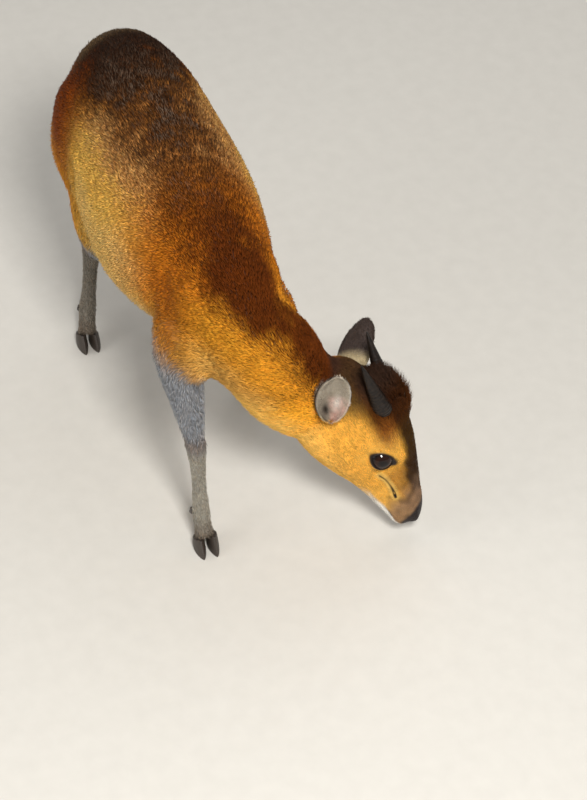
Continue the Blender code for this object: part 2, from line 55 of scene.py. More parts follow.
def in_mm(lengths):
    return [round(1000 * float(length), 1) for length in lengths]


# %% [markdown]
# The solids were drawn with the shoulders near their own origin and then moved so that the footprint is
# centred. The eyes are balls, so their boxes give that move exactly, and all places below can be written
# in the drawing's own numbers. The head has a frame of its own: X to the nose, Y to its left, Z out of
# its forehead. It hangs low and is turned to the left, as when the animal feeds.

# %% Frames of the head and of the drawing
HEAD_LENGTH = 0.168
NOSE_TIP = Vector((0.187, 0.140, 0.020))
HEAD_TURN = (
    Matrix.Rotation(math.radians(54), 3, "Z")
    @ Matrix.Rotation(math.radians(58.5), 3, "Y")
    @ Matrix.Rotation(math.radians(-9), 3, "X")
)
EYE = Vector((0.0815, 0.0222, 0.0172))
EYE_RADIUS = 0.0118
POLL = NOSE_TIP - HEAD_TURN @ Vector((HEAD_LENGTH, 0, 0))

eye_low, eye_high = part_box("eye_left")
MOVED = (eye_low + eye_high) / 2 - (POLL + HEAD_TURN @ EYE)
HEAD = np.array(HEAD_TURN)
HEAD_ORIGIN = np.array(POLL + MOVED)
print("the drawing was moved by", in_mm(MOVED), "mm")


def in_head(points):
    """Points of the row frame in the head's own frame."""
    return (points - HEAD_ORIGIN) @ HEAD


def from_head(points):
    """Points of the head's frame in the row frame."""
    return np.asarray(points) @ HEAD.T + HEAD_ORIGIN


def step(low, high, value):
    """0 below low, 1 above high, and a smooth rise between. low may be above high."""
    share = np.clip((value - low) / (high - low), 0, 1)
    return share * share * (3 - 2 * share)


def length_of(vectors):
    return np.sqrt((vectors * vectors).sum(-1, keepdims=True))


def unit(vectors):
    return vectors / np.maximum(length_of(vectors), 1e-12)


def far_from(points, place, scale=1):
    """Distance of each point to a place, with its directions scaled first."""
    return length_of((points - place) * scale)[:, 0]


def bell(value, width, power=2):
    """1 where the value is 0, and near 0 beyond the width."""
    return np.exp(-((value / width) ** power))


def on_side(place, side):
    """A place in the head's frame on its left side (1) or its right (-1)."""
    return np.array(place) * (1, side, 1)


# %% [markdown]
# Hair lies along the body: back from the nose, down the neck and flanks, down the legs. The lie, the
# markings and the depth of the coat all need to know where on the animal a point is. A rough skeleton
# answers that. Each bone is a line of points with the body's radius there, and a point on the skin
# belongs most to the bones that it is nearest to, counted in radii.

# %% Skeleton
BONES = {  # x, y, z and the body's radius there
    "tail": [(-0.186, 0.005, 0.300, 0.013), (-0.216, 0.006, 0.283, 0.012), (-0.224, 0.006, 0.227, 0.008)],
    "trunk": [
        (-0.178, 0.004, 0.280, 0.055),
        (-0.112, 0.002, 0.267, 0.078),
        (-0.025, 0.000, 0.251, 0.082),
        (0.062, 0.001, 0.255, 0.070),
        (0.098, 0.001, 0.254, 0.062),
    ],
    "neck": [
        (0.098, 0.001, 0.254, 0.062),
        (0.132, 0.006, 0.234, 0.046),
        (0.1480, 0.0215, 0.2130, 0.042),
        (0.1447, 0.0390, 0.1787, 0.038),
        (0.1417, 0.0567, 0.1549, 0.035),
    ],
    "foreleg": [(0.110, -0.040, 0.225, 0.030), (0.111, -0.042, 0.187, 0.024), (0.122, -0.038, 0.125, 0.012)],
    "foreshank": [
        (0.123, -0.0365, 0.112, 0.010),
        (0.126, -0.0345, 0.036, 0.008),
        (0.1335, -0.034, 0.010, 0.010),
    ],
    "hindleg": [
        (-0.122, -0.034, 0.236, 0.050),
        (-0.113, -0.038, 0.187, 0.034),
        (-0.133, -0.035, 0.153, 0.020),
        (-0.154, -0.0315, 0.125, 0.011),
    ],
    "hindshank": [
        (-0.165, -0.031, 0.108, 0.010),
        (-0.168, -0.0345, 0.062, 0.007),
        (-0.168, -0.0375, 0.036, 0.008),
        (-0.1605, -0.0415, 0.010, 0.010),
    ],
}
LEFT_STEP = {"fore": Vector((-0.172, 0.047, 0)), "hind": Vector((0.022, 0, 0))}
LEG_TOP = {"fore": 0.238, "hind": 0.246}
BONE_STEP = 0.008  # spacing of the skeleton's sample points


def left_of(bone, points):
    """The left leg's points: the right leg's, mirrored, and moved further the lower they are."""
    end = bone[:4]
    stepped = []
    for x, y, z, radius in points:
        drop = max(0.0, (LEG_TOP[end] - z) / LEG_TOP[end])
        moved = LEFT_STEP[end] * (drop * drop * (3 - 2 * drop))
        stepped.append((x + moved.x, -y + moved.y, z, radius))
    return stepped


def sampled(points):
    """Points along a bone, with their radii and the bone's direction there."""
    rows = []
    for (ax, ay, az, ar), (bx, by, bz, br) in zip(points, points[1:]):
        a, b = np.array((ax, ay, az, ar)), np.array((bx, by, bz, br))
        count = max(1, round(float(length_of((b - a)[:3])[0]) / BONE_STEP))
        along = unit((b - a)[:3])
        rows += [(*(a + (b - a) * i / count), *along) for i in range(count + 1)]
    return rows


HEAD_BONE = [(0.02, 0.036), (0.30, 0.037), (0.55, 0.031), (0.78, 0.021), (0.95, 0.015)]
bones = {
    "head": [
        (*from_head((HEAD_LENGTH * share, 0, 0)) - np.array(MOVED), radius) for share, radius in HEAD_BONE
    ]
}
for name, points in BONES.items():
    bones[name] = points
    if "leg" in name or "shank" in name:
        bones[name + "_left"] = left_of(name, points)

PARTS = ["tail", "trunk", "neck", "head", "leg", "shank"]
samples, sample_part = [], []
for name, points in bones.items():
    kind = "shank" if "shank" in name else "leg" if "leg" in name else name
    rows = sampled(points)
    samples += rows
    sample_part += [PARTS.index(kind)] * len(rows)
samples, sample_part = np.array(samples), np.array(sample_part)
samples[:, :3] += np.array(MOVED)
print(len(samples), "points of the skeleton in", len(bones), "bones")

# %% [markdown]
# The up side of a section is the animal's back: straight up on the trunk, and turning into the forehead's
# direction along the neck. Hair runs from the head to the tail, so it runs against the neck's, the head's
# and the trunk's bones, which are drawn from the tail to the nose.

# %% Up side and lie of the hair, bone by bone
forehead = HEAD[:, 2]
neck_share = step(0.10, 0.148, samples[:, 0] - MOVED[0])[:, None]
neck_share = np.where(sample_part[:, None] == PARTS.index("neck"), neck_share, 0)
up_side = (1 - neck_share) * (0.0, 0.0, 1.0) + neck_share * forehead
up_side[sample_part == PARTS.index("head")] = forehead
sample_along = samples[:, 4:7]
up_side = unit(up_side - (up_side * sample_along).sum(1, keepdims=True) * sample_along)
against = np.isin(sample_part, [PARTS.index(name) for name in ("trunk", "neck", "head")])
sample_lie = np.where(against[:, None], -sample_along, sample_along)
print("hair runs against the bone at", int(against.sum()), "of the points")

LIE = slice(len(PARTS), len(PARTS) + 3)  # columns of what place_on_body gives
HEIGHT = len(PARTS) + 3


def shares_of(facts):
    """How much each point belongs to each part, by the part's name."""
    return dict(zip(PARTS, facts.T))


def by_part(shares, table):
    """A value from a table by part, mixed by how much a point belongs to each part."""
    return shares @ np.array([table[part] for part in PARTS])


def place_on_body(points):
    """For each point: how much it belongs to each part, the lie of its hair, and its height on its section
    from -1 at the belly to 1 at the back."""
    found = []
    for some in np.array_split(points, max(1, len(points) // 20000)):
        away = some[:, None, :] - samples[None, :, :3]
        reach = np.sqrt((away * away).sum(2)) / samples[:, 3]
        weight = 1 / np.maximum(reach, 0.05) ** 6
        weight /= weight.sum(1, keepdims=True)
        share = np.stack([weight[:, sample_part == i].sum(1) for i in range(len(PARTS))], 1)
        spine = weight * (sample_part < PARTS.index("leg"))
        spine = spine / np.maximum(spine.sum(1, keepdims=True), 1e-12)
        section = away - (away * sample_along).sum(2, keepdims=True) * sample_along
        height = (unit(section) * up_side).sum(2)
        height = (spine * height).sum(1, keepdims=True)
        found.append(np.concatenate([share, weight @ sample_lie, height], 1))
    return np.concatenate(found)


# %% [markdown]
# A few steps come back with every piece: selecting it alone, applying a modifier, turning its faces
# outward, and reading or writing its points as rows of numbers. They are written once, here. Smoothing is
# one of them. It pushes back after each pull, because a plain average would thin the legs.

# %% Small helpers for meshes
MERGE = 0.00001  # points nearer than this are one point


def add_object(name, data):
    made = bpy.data.objects.new(name, data)
    bpy.context.scene.collection.objects.link(made)
    return made


def select_only(*objects):
    """Selects these objects and makes the last one active."""
    bpy.ops.object.select_all(action="DESELECT")
    for obj in objects:
        obj.select_set(True)
    bpy.context.view_layer.objects.active = objects[-1]


def apply_modifier(obj, kind, **settings):
    modifier = obj.modifiers.new(kind, kind)
    for key, value in settings.items():
        setattr(modifier, key, value)
    bpy.ops.object.modifier_apply(modifier=kind)


def face_outward(merge=0.0):
    """In edit mode, joins points nearer than merge and turns every face outward."""
    bpy.ops.mesh.select_all(action="SELECT")
    if merge:
        bpy.ops.mesh.remove_doubles(threshold=merge)
    bpy.ops.mesh.normals_make_consistent(inside=False)


def rows_of(items, key, width=3, kind=np.float32):
    """One row of numbers for each item of a mesh's list."""
    flat = np.empty(len(items) * width, kind)
    items.foreach_get(key, flat)
    return flat.reshape(-1, width)


def points_of(mesh):
    return rows_of(mesh.vertices, "co").astype(np.float64)


def normals_of(mesh):
    return rows_of(mesh.vertex_normals, "vector").astype(np.float64)


def triangles_of(mesh):
    """Corner vertices and corner loops of the mesh's triangles."""
    mesh.calc_loop_triangles()
    return [rows_of(mesh.loop_triangles, key, 3, np.int32) for key in ("vertices", "loops")]


def put_points(mesh, points):
    mesh.vertices.foreach_set("co", points.astype(np.float32).ravel())
    mesh.update()


def put_values(mesh, name, values):
    """Writes a number or a colour at each point of the mesh."""
    kind, key = ("FLOAT", "value") if values.ndim == 1 else ("FLOAT_COLOR", "color")
    if values.ndim > 1:
        values = np.concatenate([values, np.ones((len(values), 1))], 1)
    store = mesh.attributes.new(name, kind, "POINT")
    store.data.foreach_set(key, values.astype(np.float32).ravel())


def relax(obj, points, rounds, share=1.0):
    """Puts the points into the object, smoothed without shrinking: each round pulls every point to its
    neighbours' middle and then pushes it back a little further. share tells how much each takes part."""
    edges = rows_of(obj.data.edges, "vertices", 2, np.int32)
    ends = np.concatenate([edges, edges[:, ::-1]])
    degree = np.bincount(ends[:, 0], minlength=len(points))[:, None]
    for _ in range(rounds):
        for pull in (0.5, -0.52):
            sums = [np.bincount(ends[:, 0], points[ends[:, 1], axis], len(points)) for axis in range(3)]
            points = points + (np.stack(sums, 1) / degree - points) * pull * share
    put_points(obj.data, points)


# %% [markdown]
# The skin starts as copies of all the flesh solids. They stand 0.3 mm apart, so each copy is swollen by
# half a millimetre, and a voxel remesh then makes one closed surface of them. Its voxel is as coarse as
# the trunk allows. The face is subdivided after that, where lids, nostrils and the slit of the scent
# gland need a finer mesh.

# %% One surface from the flesh solids
SKIN_VOXEL = 0.0030
SWELL = 0.0005
NOT_FLESH = ("ear", "horn", "hoof", "dewclaw")
flesh_nodes = sorted(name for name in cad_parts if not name.startswith(NOT_FLESH))
select_only(*[add_object("flesh_" + name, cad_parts[name].data.copy()) for name in flesh_nodes])
bpy.ops.object.join()
skin = bpy.context.view_layer.objects.active
skin.name = "skin"
skin.data.name = "skin"
skin.data.materials.clear()
bpy.ops.object.mode_set(mode="EDIT")
face_outward(MERGE)
bpy.ops.object.mode_set(mode="OBJECT")
apply_modifier(skin, "DISPLACE", strength=SWELL, mid_level=0)
apply_modifier(skin, "REMESH", mode="VOXEL", voxel_size=SKIN_VOXEL)
print("the skin's first mesh has", len(skin.data.vertices), "vertices")

SMOOTH_ROUNDS = 24  # these take the voxels' steps out
relax(skin, points_of(skin.data), SMOOTH_ROUNDS)

# %% [markdown]
# The head carries the finest forms, so its faces are cut in four, and the front of the face once more.
# Two passes of Subdivide do it where a function picks the faces, and a short smoothing rounds the result.


# %% Finer mesh on the head
def subdivide_where(obj, chosen):
    """Subdivides the faces whose centres the function picks."""
    mesh = obj.data
    picked = chosen(rows_of(mesh.polygons, "center"))
    bpy.ops.object.mode_set(mode="EDIT")
    bpy.ops.mesh.select_mode(type="FACE")
    bpy.ops.mesh.select_all(action="DESELECT")
    bpy.ops.object.mode_set(mode="OBJECT")
    mesh.polygons.foreach_set("select", picked)
    bpy.ops.object.mode_set(mode="EDIT")
    bpy.ops.mesh.subdivide(number_cuts=1)
    bpy.ops.object.mode_set(mode="OBJECT")
    return int(picked.sum())


def on_head(points):
    local = in_head(points)
    return (local[:, 0] > 0.03) & (np.abs(local[:, 1]) < 0.06) & (local[:, 2] > -0.06)


def on_face(points):
    local = in_head(points)
    return on_head(points) & (local[:, 0] > 0.062) & (local[:, 2] > -0.034 + 0.3 * (0.10 - local[:, 0]))


for chosen in (on_head, on_face):
    print(subdivide_where(skin, chosen), "faces subdivided")
points = points_of(skin.data)
relax(skin, points, 6, on_head(points)[:, None] * 1.0)
print("the skin now has", len(skin.data.vertices), "vertices")

# %% [markdown]
# The solids go out to the tips of the coat, so the skin lies inside them by the coat's depth: a few
# millimetres on the body, almost nothing on the muzzle and the shanks.

# %% Depth of the coat
COAT_DEPTH = dict(tail=0.0045, trunk=0.0030, neck=0.0026, head=0.0012, leg=0.0013, shank=0.0007)
CREST = (0.040, 0.0, 0.052)  # middle of the crest of long hair between the horns, in the head's frame
CREST_DEPTH = 0.0042


def crest_share(local):
    """1 in the middle of the crest, and 0 outside it."""
    return bell(far_from(local, CREST, (0.7, 1.2, 0.6)), 0.016, 4)


def coat_depth(points, shares):
    depth = by_part(shares, COAT_DEPTH)
    local = in_head(points)
    muzzle = step(0.10, 0.15, local[:, 0]) * shares[:, PARTS.index("head")]
    return depth * (1 - 0.65 * muzzle) + CREST_DEPTH * crest_share(local)


points = points_of(skin.data)
shares = place_on_body(points)[:, : len(PARTS)]
depth = coat_depth(points, shares)
points = points - normals_of(skin.data) * (depth + SWELL)[:, None]
relax(skin, points, 3)
print("coat depth in mm, least and most:", in_mm((depth.min(), depth.max())))

# %% [markdown]
# The face is shaped by moving the skin's points, as a sculptor presses clay. The eye's lids are skin that
# follows the eyeball a millimetre outside it, with an almond-shaped opening where the skin dives behind
# the ball. In front of the eye is the long slit of the scent gland, between two swollen lips. The mouth is
# shut: a groove from the corner to the nose, over a full lower lip. The nostrils are commas at the sides
# of the bare nose.

# %% Lids and slit
GAZE = unit(np.array((0.22, 0.93, 0.28)))
LID = 0.0011  # thickness of a lid
EYE_SINK = 0.0030  # how far behind the ball's surface the skin dives in the opening
OPENING = (0.80, 0.56)  # half length and half height of the eye's opening, in eyeball radii


def eye_axes(side):
    """The eye's own axes: along the opening to its front corner, up, and out."""
    out = GAZE * (1, side, 1)
    along = unit(np.array((0.87, 0.0, 0.48)))
    along = unit(along - out * (along @ out))
    up = np.cross(along, out)
    return along, up * (1 if up[2] > 0 else -1), out


def eye_opening(local, side):
    """(distance from the eyeball's centre, 1 at the opening's edge, how far a point faces out)."""
    away = local - on_side(EYE, side)
    reach = length_of(away)[:, 0]
    along, up, out = eye_axes(side)
    facing = away / np.maximum(reach, 1e-9)[:, None]
    across = np.abs(facing @ along) / OPENING[0]
    high = np.abs(facing @ up) / OPENING[1]
    edge = across**2.1 + high**1.7
    return reach, np.where(facing @ out > 0, edge, 9.0), facing @ out


def curve_through(points, count=24):
    """A smooth line through three or more points."""
    points = np.asarray(points, float)
    where = np.linspace(0, len(points) - 1, count)
    rows = []
    for t in where:
        i = min(int(t), len(points) - 2)
        a, b = points[max(i - 1, 0)], points[i]
        c, d = points[i + 1], points[min(i + 2, len(points) - 1)]
        f = t - i
        rows.append(
            0.5 * (2 * b + (c - a) * f + (2 * a - 5 * b + 4 * c - d) * f**2 + (3 * b - a - 3 * c + d) * f**3)
        )
    return np.array(rows)


def away_from(points, line):
    """Distance of each point to a line of points, and the share along it."""
    best = np.full(len(points), 9.0)
    share = np.zeros(len(points))
    for i, (a, b) in enumerate(zip(line, line[1:])):
        t = np.clip(((points - a) @ (b - a)) / ((b - a) @ (b - a)), 0, 1)
        gap = length_of(points - a - t[:, None] * (b - a))[:, 0]
        near = gap < best
        best = np.where(near, gap, best)
        share = np.where(near, (i + t) / (len(line) - 1), share)
    return best, share


GLAND = [
    (0.1008, 0.0235, 0.0058),
    (0.1090, 0.0215, 0.0076),
    (0.1205, 0.0185, 0.0066),
    (0.1316, 0.0150, 0.0035),
]
MOUTH = [
    (0.1254, 0.0150, -0.0151),
    (0.1390, 0.0142, -0.0128),
    (0.1520, 0.0120, -0.0100),
    (0.1625, 0.0055, -0.0085),
]
NOSTRIL = [(0.1565, 0.0098, 0.0062), (0.1610, 0.0082, 0.0040), (0.1640, 0.0048, 0.0010)]


def sided(line, side):
    return curve_through(on_side(line, side))


# %% [markdown]
# Slit, mouth and nostrils are one form in three sizes, a bell-shaped hollow along a line with a ridge
# beside it: the slit's lips, the mouth's lips, the nostril's wing. The slit runs out at both ends, and the
# nostril is deepest in front.

# %% Shaping the face
FACE_LINES = {  # line, depth and width of its hollow, and height, distance and width of its ridge
    "slit": (GLAND, (0.0017, 0.0009), (0.0011, 0.0028, 0.0016)),
    "mouth": (MOUTH, (0.0011, 0.0009), (0.0008, 0.0030, 0.0020)),
    "nostril": (NOSTRIL, (0.0028, 0.0013), (0.0009, 0.0032, 0.0014)),
}


def tapered(share):
    """1 along most of a line, and 0 at both ends."""
    return np.sqrt(np.clip(1 - (2 * share - 1) ** 4, 0, 1))


def strengths(form, share):
    """How strong a form's hollow and ridge are at a share of its line."""
    ends = tapered(share)
    return {
        "slit": (ends, 0.35 + 0.65 * ends),
        "mouth": (1, 1),
        "nostril": (0.35 + 0.65 * share, 1),
        "fold": (ends, 1),
    }[form]


def hollowed(points, normals, form, line, hollow, ridge):
    """The points with a hollow pressed in along a line, and a ridge raised beside it."""
    gap, share = away_from(points, line)
    in_hollow, in_ridge = strengths(form, share)
    press = hollow[0] * bell(gap, hollow[1]) * in_hollow
    swell = ridge[0] * bell(gap - ridge[1], ridge[2]) * in_ridge
    return points + normals * (swell - press)[:, None]


def shape_face(points, normals):
    """Moves the head's points into lids, slit, mouth and nostrils."""
    local = in_head(points)
    normal = normals @ HEAD
    for side in (1, -1):
        here = (local[:, 1] * side > -0.004) & (local[:, 0] > 0.03)
        some, face = local[here], normal[here]
        reach, edge, facing = eye_opening(some, side)
        lid = np.maximum(reach, EYE_RADIUS + LID)
        over_ball = step(-0.05, 0.25, facing)
        inside = step(1.06, 0.94, edge)
        wanted = reach + (lid - reach) * over_ball
        wanted = wanted + (EYE_RADIUS - EYE_SINK - wanted) * inside
        fold = bell(edge - 2.1, 0.45) * over_ball * 0.0007
        near = step(EYE_RADIUS * 2.2, EYE_RADIUS * 1.5, reach)
        some = some + unit(some - on_side(EYE, side)) * ((wanted - fold - reach) * near)[:, None]
        for form, (line, hollow, ridge) in FACE_LINES.items():
            some = hollowed(some, face, form, sided(line, side), hollow, ridge)
        local[here] = some
    philtrum = 0.0009 * bell(local[:, 1], 0.0007) * step(0.160, 0.165, local[:, 0])
    local = local - normal * philtrum[:, None]
    return from_head(local)


points = points_of(skin.data)
put_points(skin.data, shape_face(points, normals_of(skin.data)))
print("the face is shaped")

# %% [markdown]
# The thigh and the shoulder slide under the skin, and each leaves a shallow fold in front of or behind
# it. The folds are long soft hollows along lines on the flanks.

# %% Folds of the flank and shoulder
FOLDS = {  # line, depth and width
    "flank": ([(-0.088, -0.066, 0.262), (-0.083, -0.072, 0.232), (-0.078, -0.068, 0.202)], 0.0022, 0.0070),
    "shoulder": ([(0.070, -0.056, 0.270), (0.074, -0.058, 0.240), (0.088, -0.056, 0.212)], 0.0016, 0.0065),
    "groin": ([(-0.078, -0.066, 0.200), (-0.092, -0.058, 0.178)], 0.0018, 0.0060),
}


def fold_body(points, normals):
    """The points with the folds pressed in on both sides."""
    for line, depth, width in FOLDS.values():
        for side in (1, -1):
            placed = sided(line, side) + np.array(MOVED)
            ridge = (0.5 * depth, 2.2 * width, width)
            points = hollowed(points, normals, "fold", placed, (depth, width), ridge)
    return points


put_points(skin.data, fold_body(points_of(skin.data), normals_of(skin.data)))

# %% [markdown]
# An ear is a leaf of skin curled into a cup, with a rolled rim. A flat grid is laid along it, each row is
# curled by its own angle, most at the root, where the rims nearly meet, and Solidify gives it the thickness
# of gristle and skin. Its root goes into the head, and then it is joined to the skin.

# %% Ears
EARS = {  # side, place of the root, way to the tip and way out of the opening, in the head's frame
    "left": (1, (0.028, 0.0265, 0.0150), (-0.24, 0.93, 0.20), (0.97, 0.02, 0.04)),
    "right": (-1, (0.0146, -0.0489, 0.0108), (-0.80, -0.27, 0.54), (0.27, -0.96, -0.08)),
}
EAR_LENGTH = 0.0590
EAR_WIDTH = 0.0330
EAR_WALL = 0.0014
EAR_WIDEST = 0.45
EAR_ROOT_WIDTH = 0.56
EAR_CURL = (164, 62)  # degrees that the shell curls each way, at the root and past the middle
EAR_LEAN = 0.004  # how far the tip leans to the side
EAR_SINK = 0.008  # depth of the cup's lower end, toward which it narrows
EAR_SPREAD = {"left": 1.15, "right": 0.90}  # the right ear is curled tighter, so its rims are nearer
EAR_ROWS, EAR_COLUMNS = 40, 26
EAR_START = -0.28  # where the ear's rows begin inside the head, in ear lengths


def ear_half_width(share):
    """The ear's half width at a share of its length, where 1 is its widest."""
    root = EAR_ROOT_WIDTH + (1 - EAR_ROOT_WIDTH) * np.sin(math.pi / 2 * np.clip(share / EAR_WIDEST, -1, 1))
    past = np.clip((share - EAR_WIDEST) / (1 - EAR_WIDEST), 0, 1)
    tip = np.maximum(0.12, (1 - past**2.2) ** 0.62)
    return EAR_WIDTH / 2 * np.where(share < EAR_WIDEST, root, tip)


def ear_bend(share, word):
    """Half width, curl angle, radius and flatness of the ear's cup at a share of its length."""
    half = ear_half_width(share) * EAR_SPREAD[word]
    open_share = np.clip((share + 0.14) / 0.69, 0, 1)
    curl = np.radians(EAR_CURL[1] + (EAR_CURL[0] - EAR_CURL[1]) * (1 - open_share) ** 1.7)
    radius = half / np.sin(np.minimum(curl, math.pi / 2))
    flat = (1 - 0.45 * share) * (1 - 0.20 * step(0.35, 0.0, share))
    return half, curl, radius, flat


def ear_axes(base, along, opening):
    """The ear's frame in the row frame: X to its tip, Z out of its opening."""
    tip = unit(np.array(along))
    out = np.array(opening) - tip * (np.array(opening) @ tip)
    out = unit(out)
    return from_head(base), HEAD @ np.stack([tip, np.cross(out, tip), out], 1)


def new_ear(word):
    side, base, along, opening = EARS[word]
    bpy.ops.object.select_all(action="DESELECT")
    bpy.ops.mesh.primitive_grid_add(x_subdivisions=EAR_ROWS, y_subdivisions=EAR_COLUMNS, size=2)
    ear = bpy.context.object
    ear.name = "ear_" + word + "_skin"
    ear.data.uv_layers.remove(ear.data.uv_layers[0])  # the skin gets its own unwrap later
    grid = points_of(ear.data)
    share = EAR_START + (1 - EAR_START) * (grid[:, 0] + 1) / 2
    across = grid[:, 1]
    half, curl, radius, flat = ear_bend(share, word)
    angle = curl * across
    rim = 0.0012 * step(0.80, 1.0, np.abs(across)) * step(0.15, 0.4, share)
    back = radius * (np.cos(curl) - np.cos(angle)) * flat
    ribs = 0.00045 * np.cos(across * 3 * math.pi) * step(0.1, 0.3, share) * step(0.95, 0.7, share)
    lean = EAR_LEAN * share * share * side
    # The cup's lower end narrows and sinks into the head
    sink = np.clip((-0.02 - share) / 0.26, 0, 1)
    narrow = np.sqrt(1 - 0.80 * sink * sink)
    wide = (radius - EAR_WALL / 2) * np.sin(angle) * narrow + lean
    deep = (back + ribs - rim + EAR_SINK) * narrow - EAR_SINK - 0.006 * sink
    local = np.stack([share * EAR_LENGTH, wide, deep], 1)
    origin, axes = ear_axes(base, along, opening)
    put_points(ear.data, local @ axes.T + origin)
    apply_modifier(ear, "SOLIDIFY", thickness=EAR_WALL, offset=0)
    bpy.ops.object.mode_set(mode="EDIT")
    face_outward()
    bpy.ops.object.mode_set(mode="OBJECT")
    return ear


ears = {word: new_ear(word) for word in EARS}
ear_counts = {word: len(ear.data.vertices) for word, ear in ears.items()}
body_count = len(skin.data.vertices)
select_only(*ears.values(), skin)
bpy.ops.object.join()
print("the skin has", len(skin.data.polygons), "faces with its ears")

# %% [markdown]
# The coat needs the skin laid out flat: each tuft takes its place on that unwrap from its root, so that the
# baked colours of skin and hair agree. Blender's smart projection cuts the skin where it turns sharply.

# %% Unwrap of the skin
bpy.ops.object.mode_set(mode="EDIT")
bpy.ops.mesh.select_all(action="SELECT")
bpy.ops.mesh.quads_convert_to_tris()
skin.data.uv_layers.new(name="OFBake")
bpy.ops.uv.smart_project(angle_limit=math.radians(66), island_margin=0.002)
bpy.ops.object.mode_set(mode="OBJECT")
skin.data.shade_smooth()
print("the unwrap's layer is", skin.data.uv_layers[0].name)

# %% [markdown]
# The markings are worked out once, on the skin's points, and each tuft takes its colours from its root. A
# near-black band with grey-tipped hairs runs from the rump to the nape, the flanks are rust that turns to
# gold toward the belly, the legs are blue-grey below the elbow and thigh, and a dark blaze runs down the
# face between golden cheeks. Slow waves in many directions keep the borders from looking drawn. The body's
# markings are worked out twice, a little higher and a little lower, and each tuft takes a colour between
# the two, so that hairs of neighbouring colours mingle at the borders as they do in life.


# %% Colours
def linear(code):
    """An sRGB hex colour as linear red, green and blue."""
    parts = np.array([int(code[i : i + 2], 16) for i in (1, 3, 5)]) / 255
    return np.where(parts <= 0.04045, parts / 12.92, ((parts + 0.055) / 1.055) ** 2.4)


TINT_CODES = dict(
    # The back's band, its fore end, the grey tips in it, the flanks, and a painted highlight where light
    # shines off the hair
    band="#2C1B10", band_fore="#552607", band_tick="#A38D79", rust="#7E3609", orange="#C4761C",
    gold="#E3B44E", painted_highlight="#BB9A6E", belly="#E0C690", neck="#EFAC32", throat="#E8BE66",
    # Legs
    leg="#96989D", shank="#A49E92", knee="#7A5C3C", pastern="#6B5D50",
    # Head, with a near-black for the dark skin round the eyes that is also painted shade in the ears' canals
    cheek="#EDB34C", blaze="#240F06", crown="#6A2006", muzzle="#8E6F55", lip="#ECE8E0", nose="#211717",
    slit="#0C0605", dark_skin_and_shade="#170B07",
    # Ears
    ear_back="#4A3E39", ear_inner="#A59B8C", ear_rose="#D9B3A6", ear_root="#33261F", ear_pale="#C6B48E",
)
TINTS = {name: linear(code) for name, code in TINT_CODES.items()}


def waves(points, size, seed):
    """A smooth field between about -1 and 1 whose bumps are about that size."""
    rng = np.random.default_rng(seed)
    total = np.zeros(len(points))
    for _ in range(7):
        way = unit(rng.normal(size=3)) * rng.uniform(0.7, 1.5)
        total += np.sin(points @ way * (2 * math.pi / size) + rng.uniform(0, 2 * math.pi))
    return total / 3.0


def painted(colour, *layers):
    """The colour with those tints over it in turn, each as strong as its mask."""
    for tint, mask in layers:
        colour = colour + (TINTS[tint] - colour) * np.clip(mask, 0, 1)[:, None]
    return colour


KNEE_HEIGHT = 0.118


def all_over(tint, points):
    return np.tile(TINTS[tint], (len(points), 1))


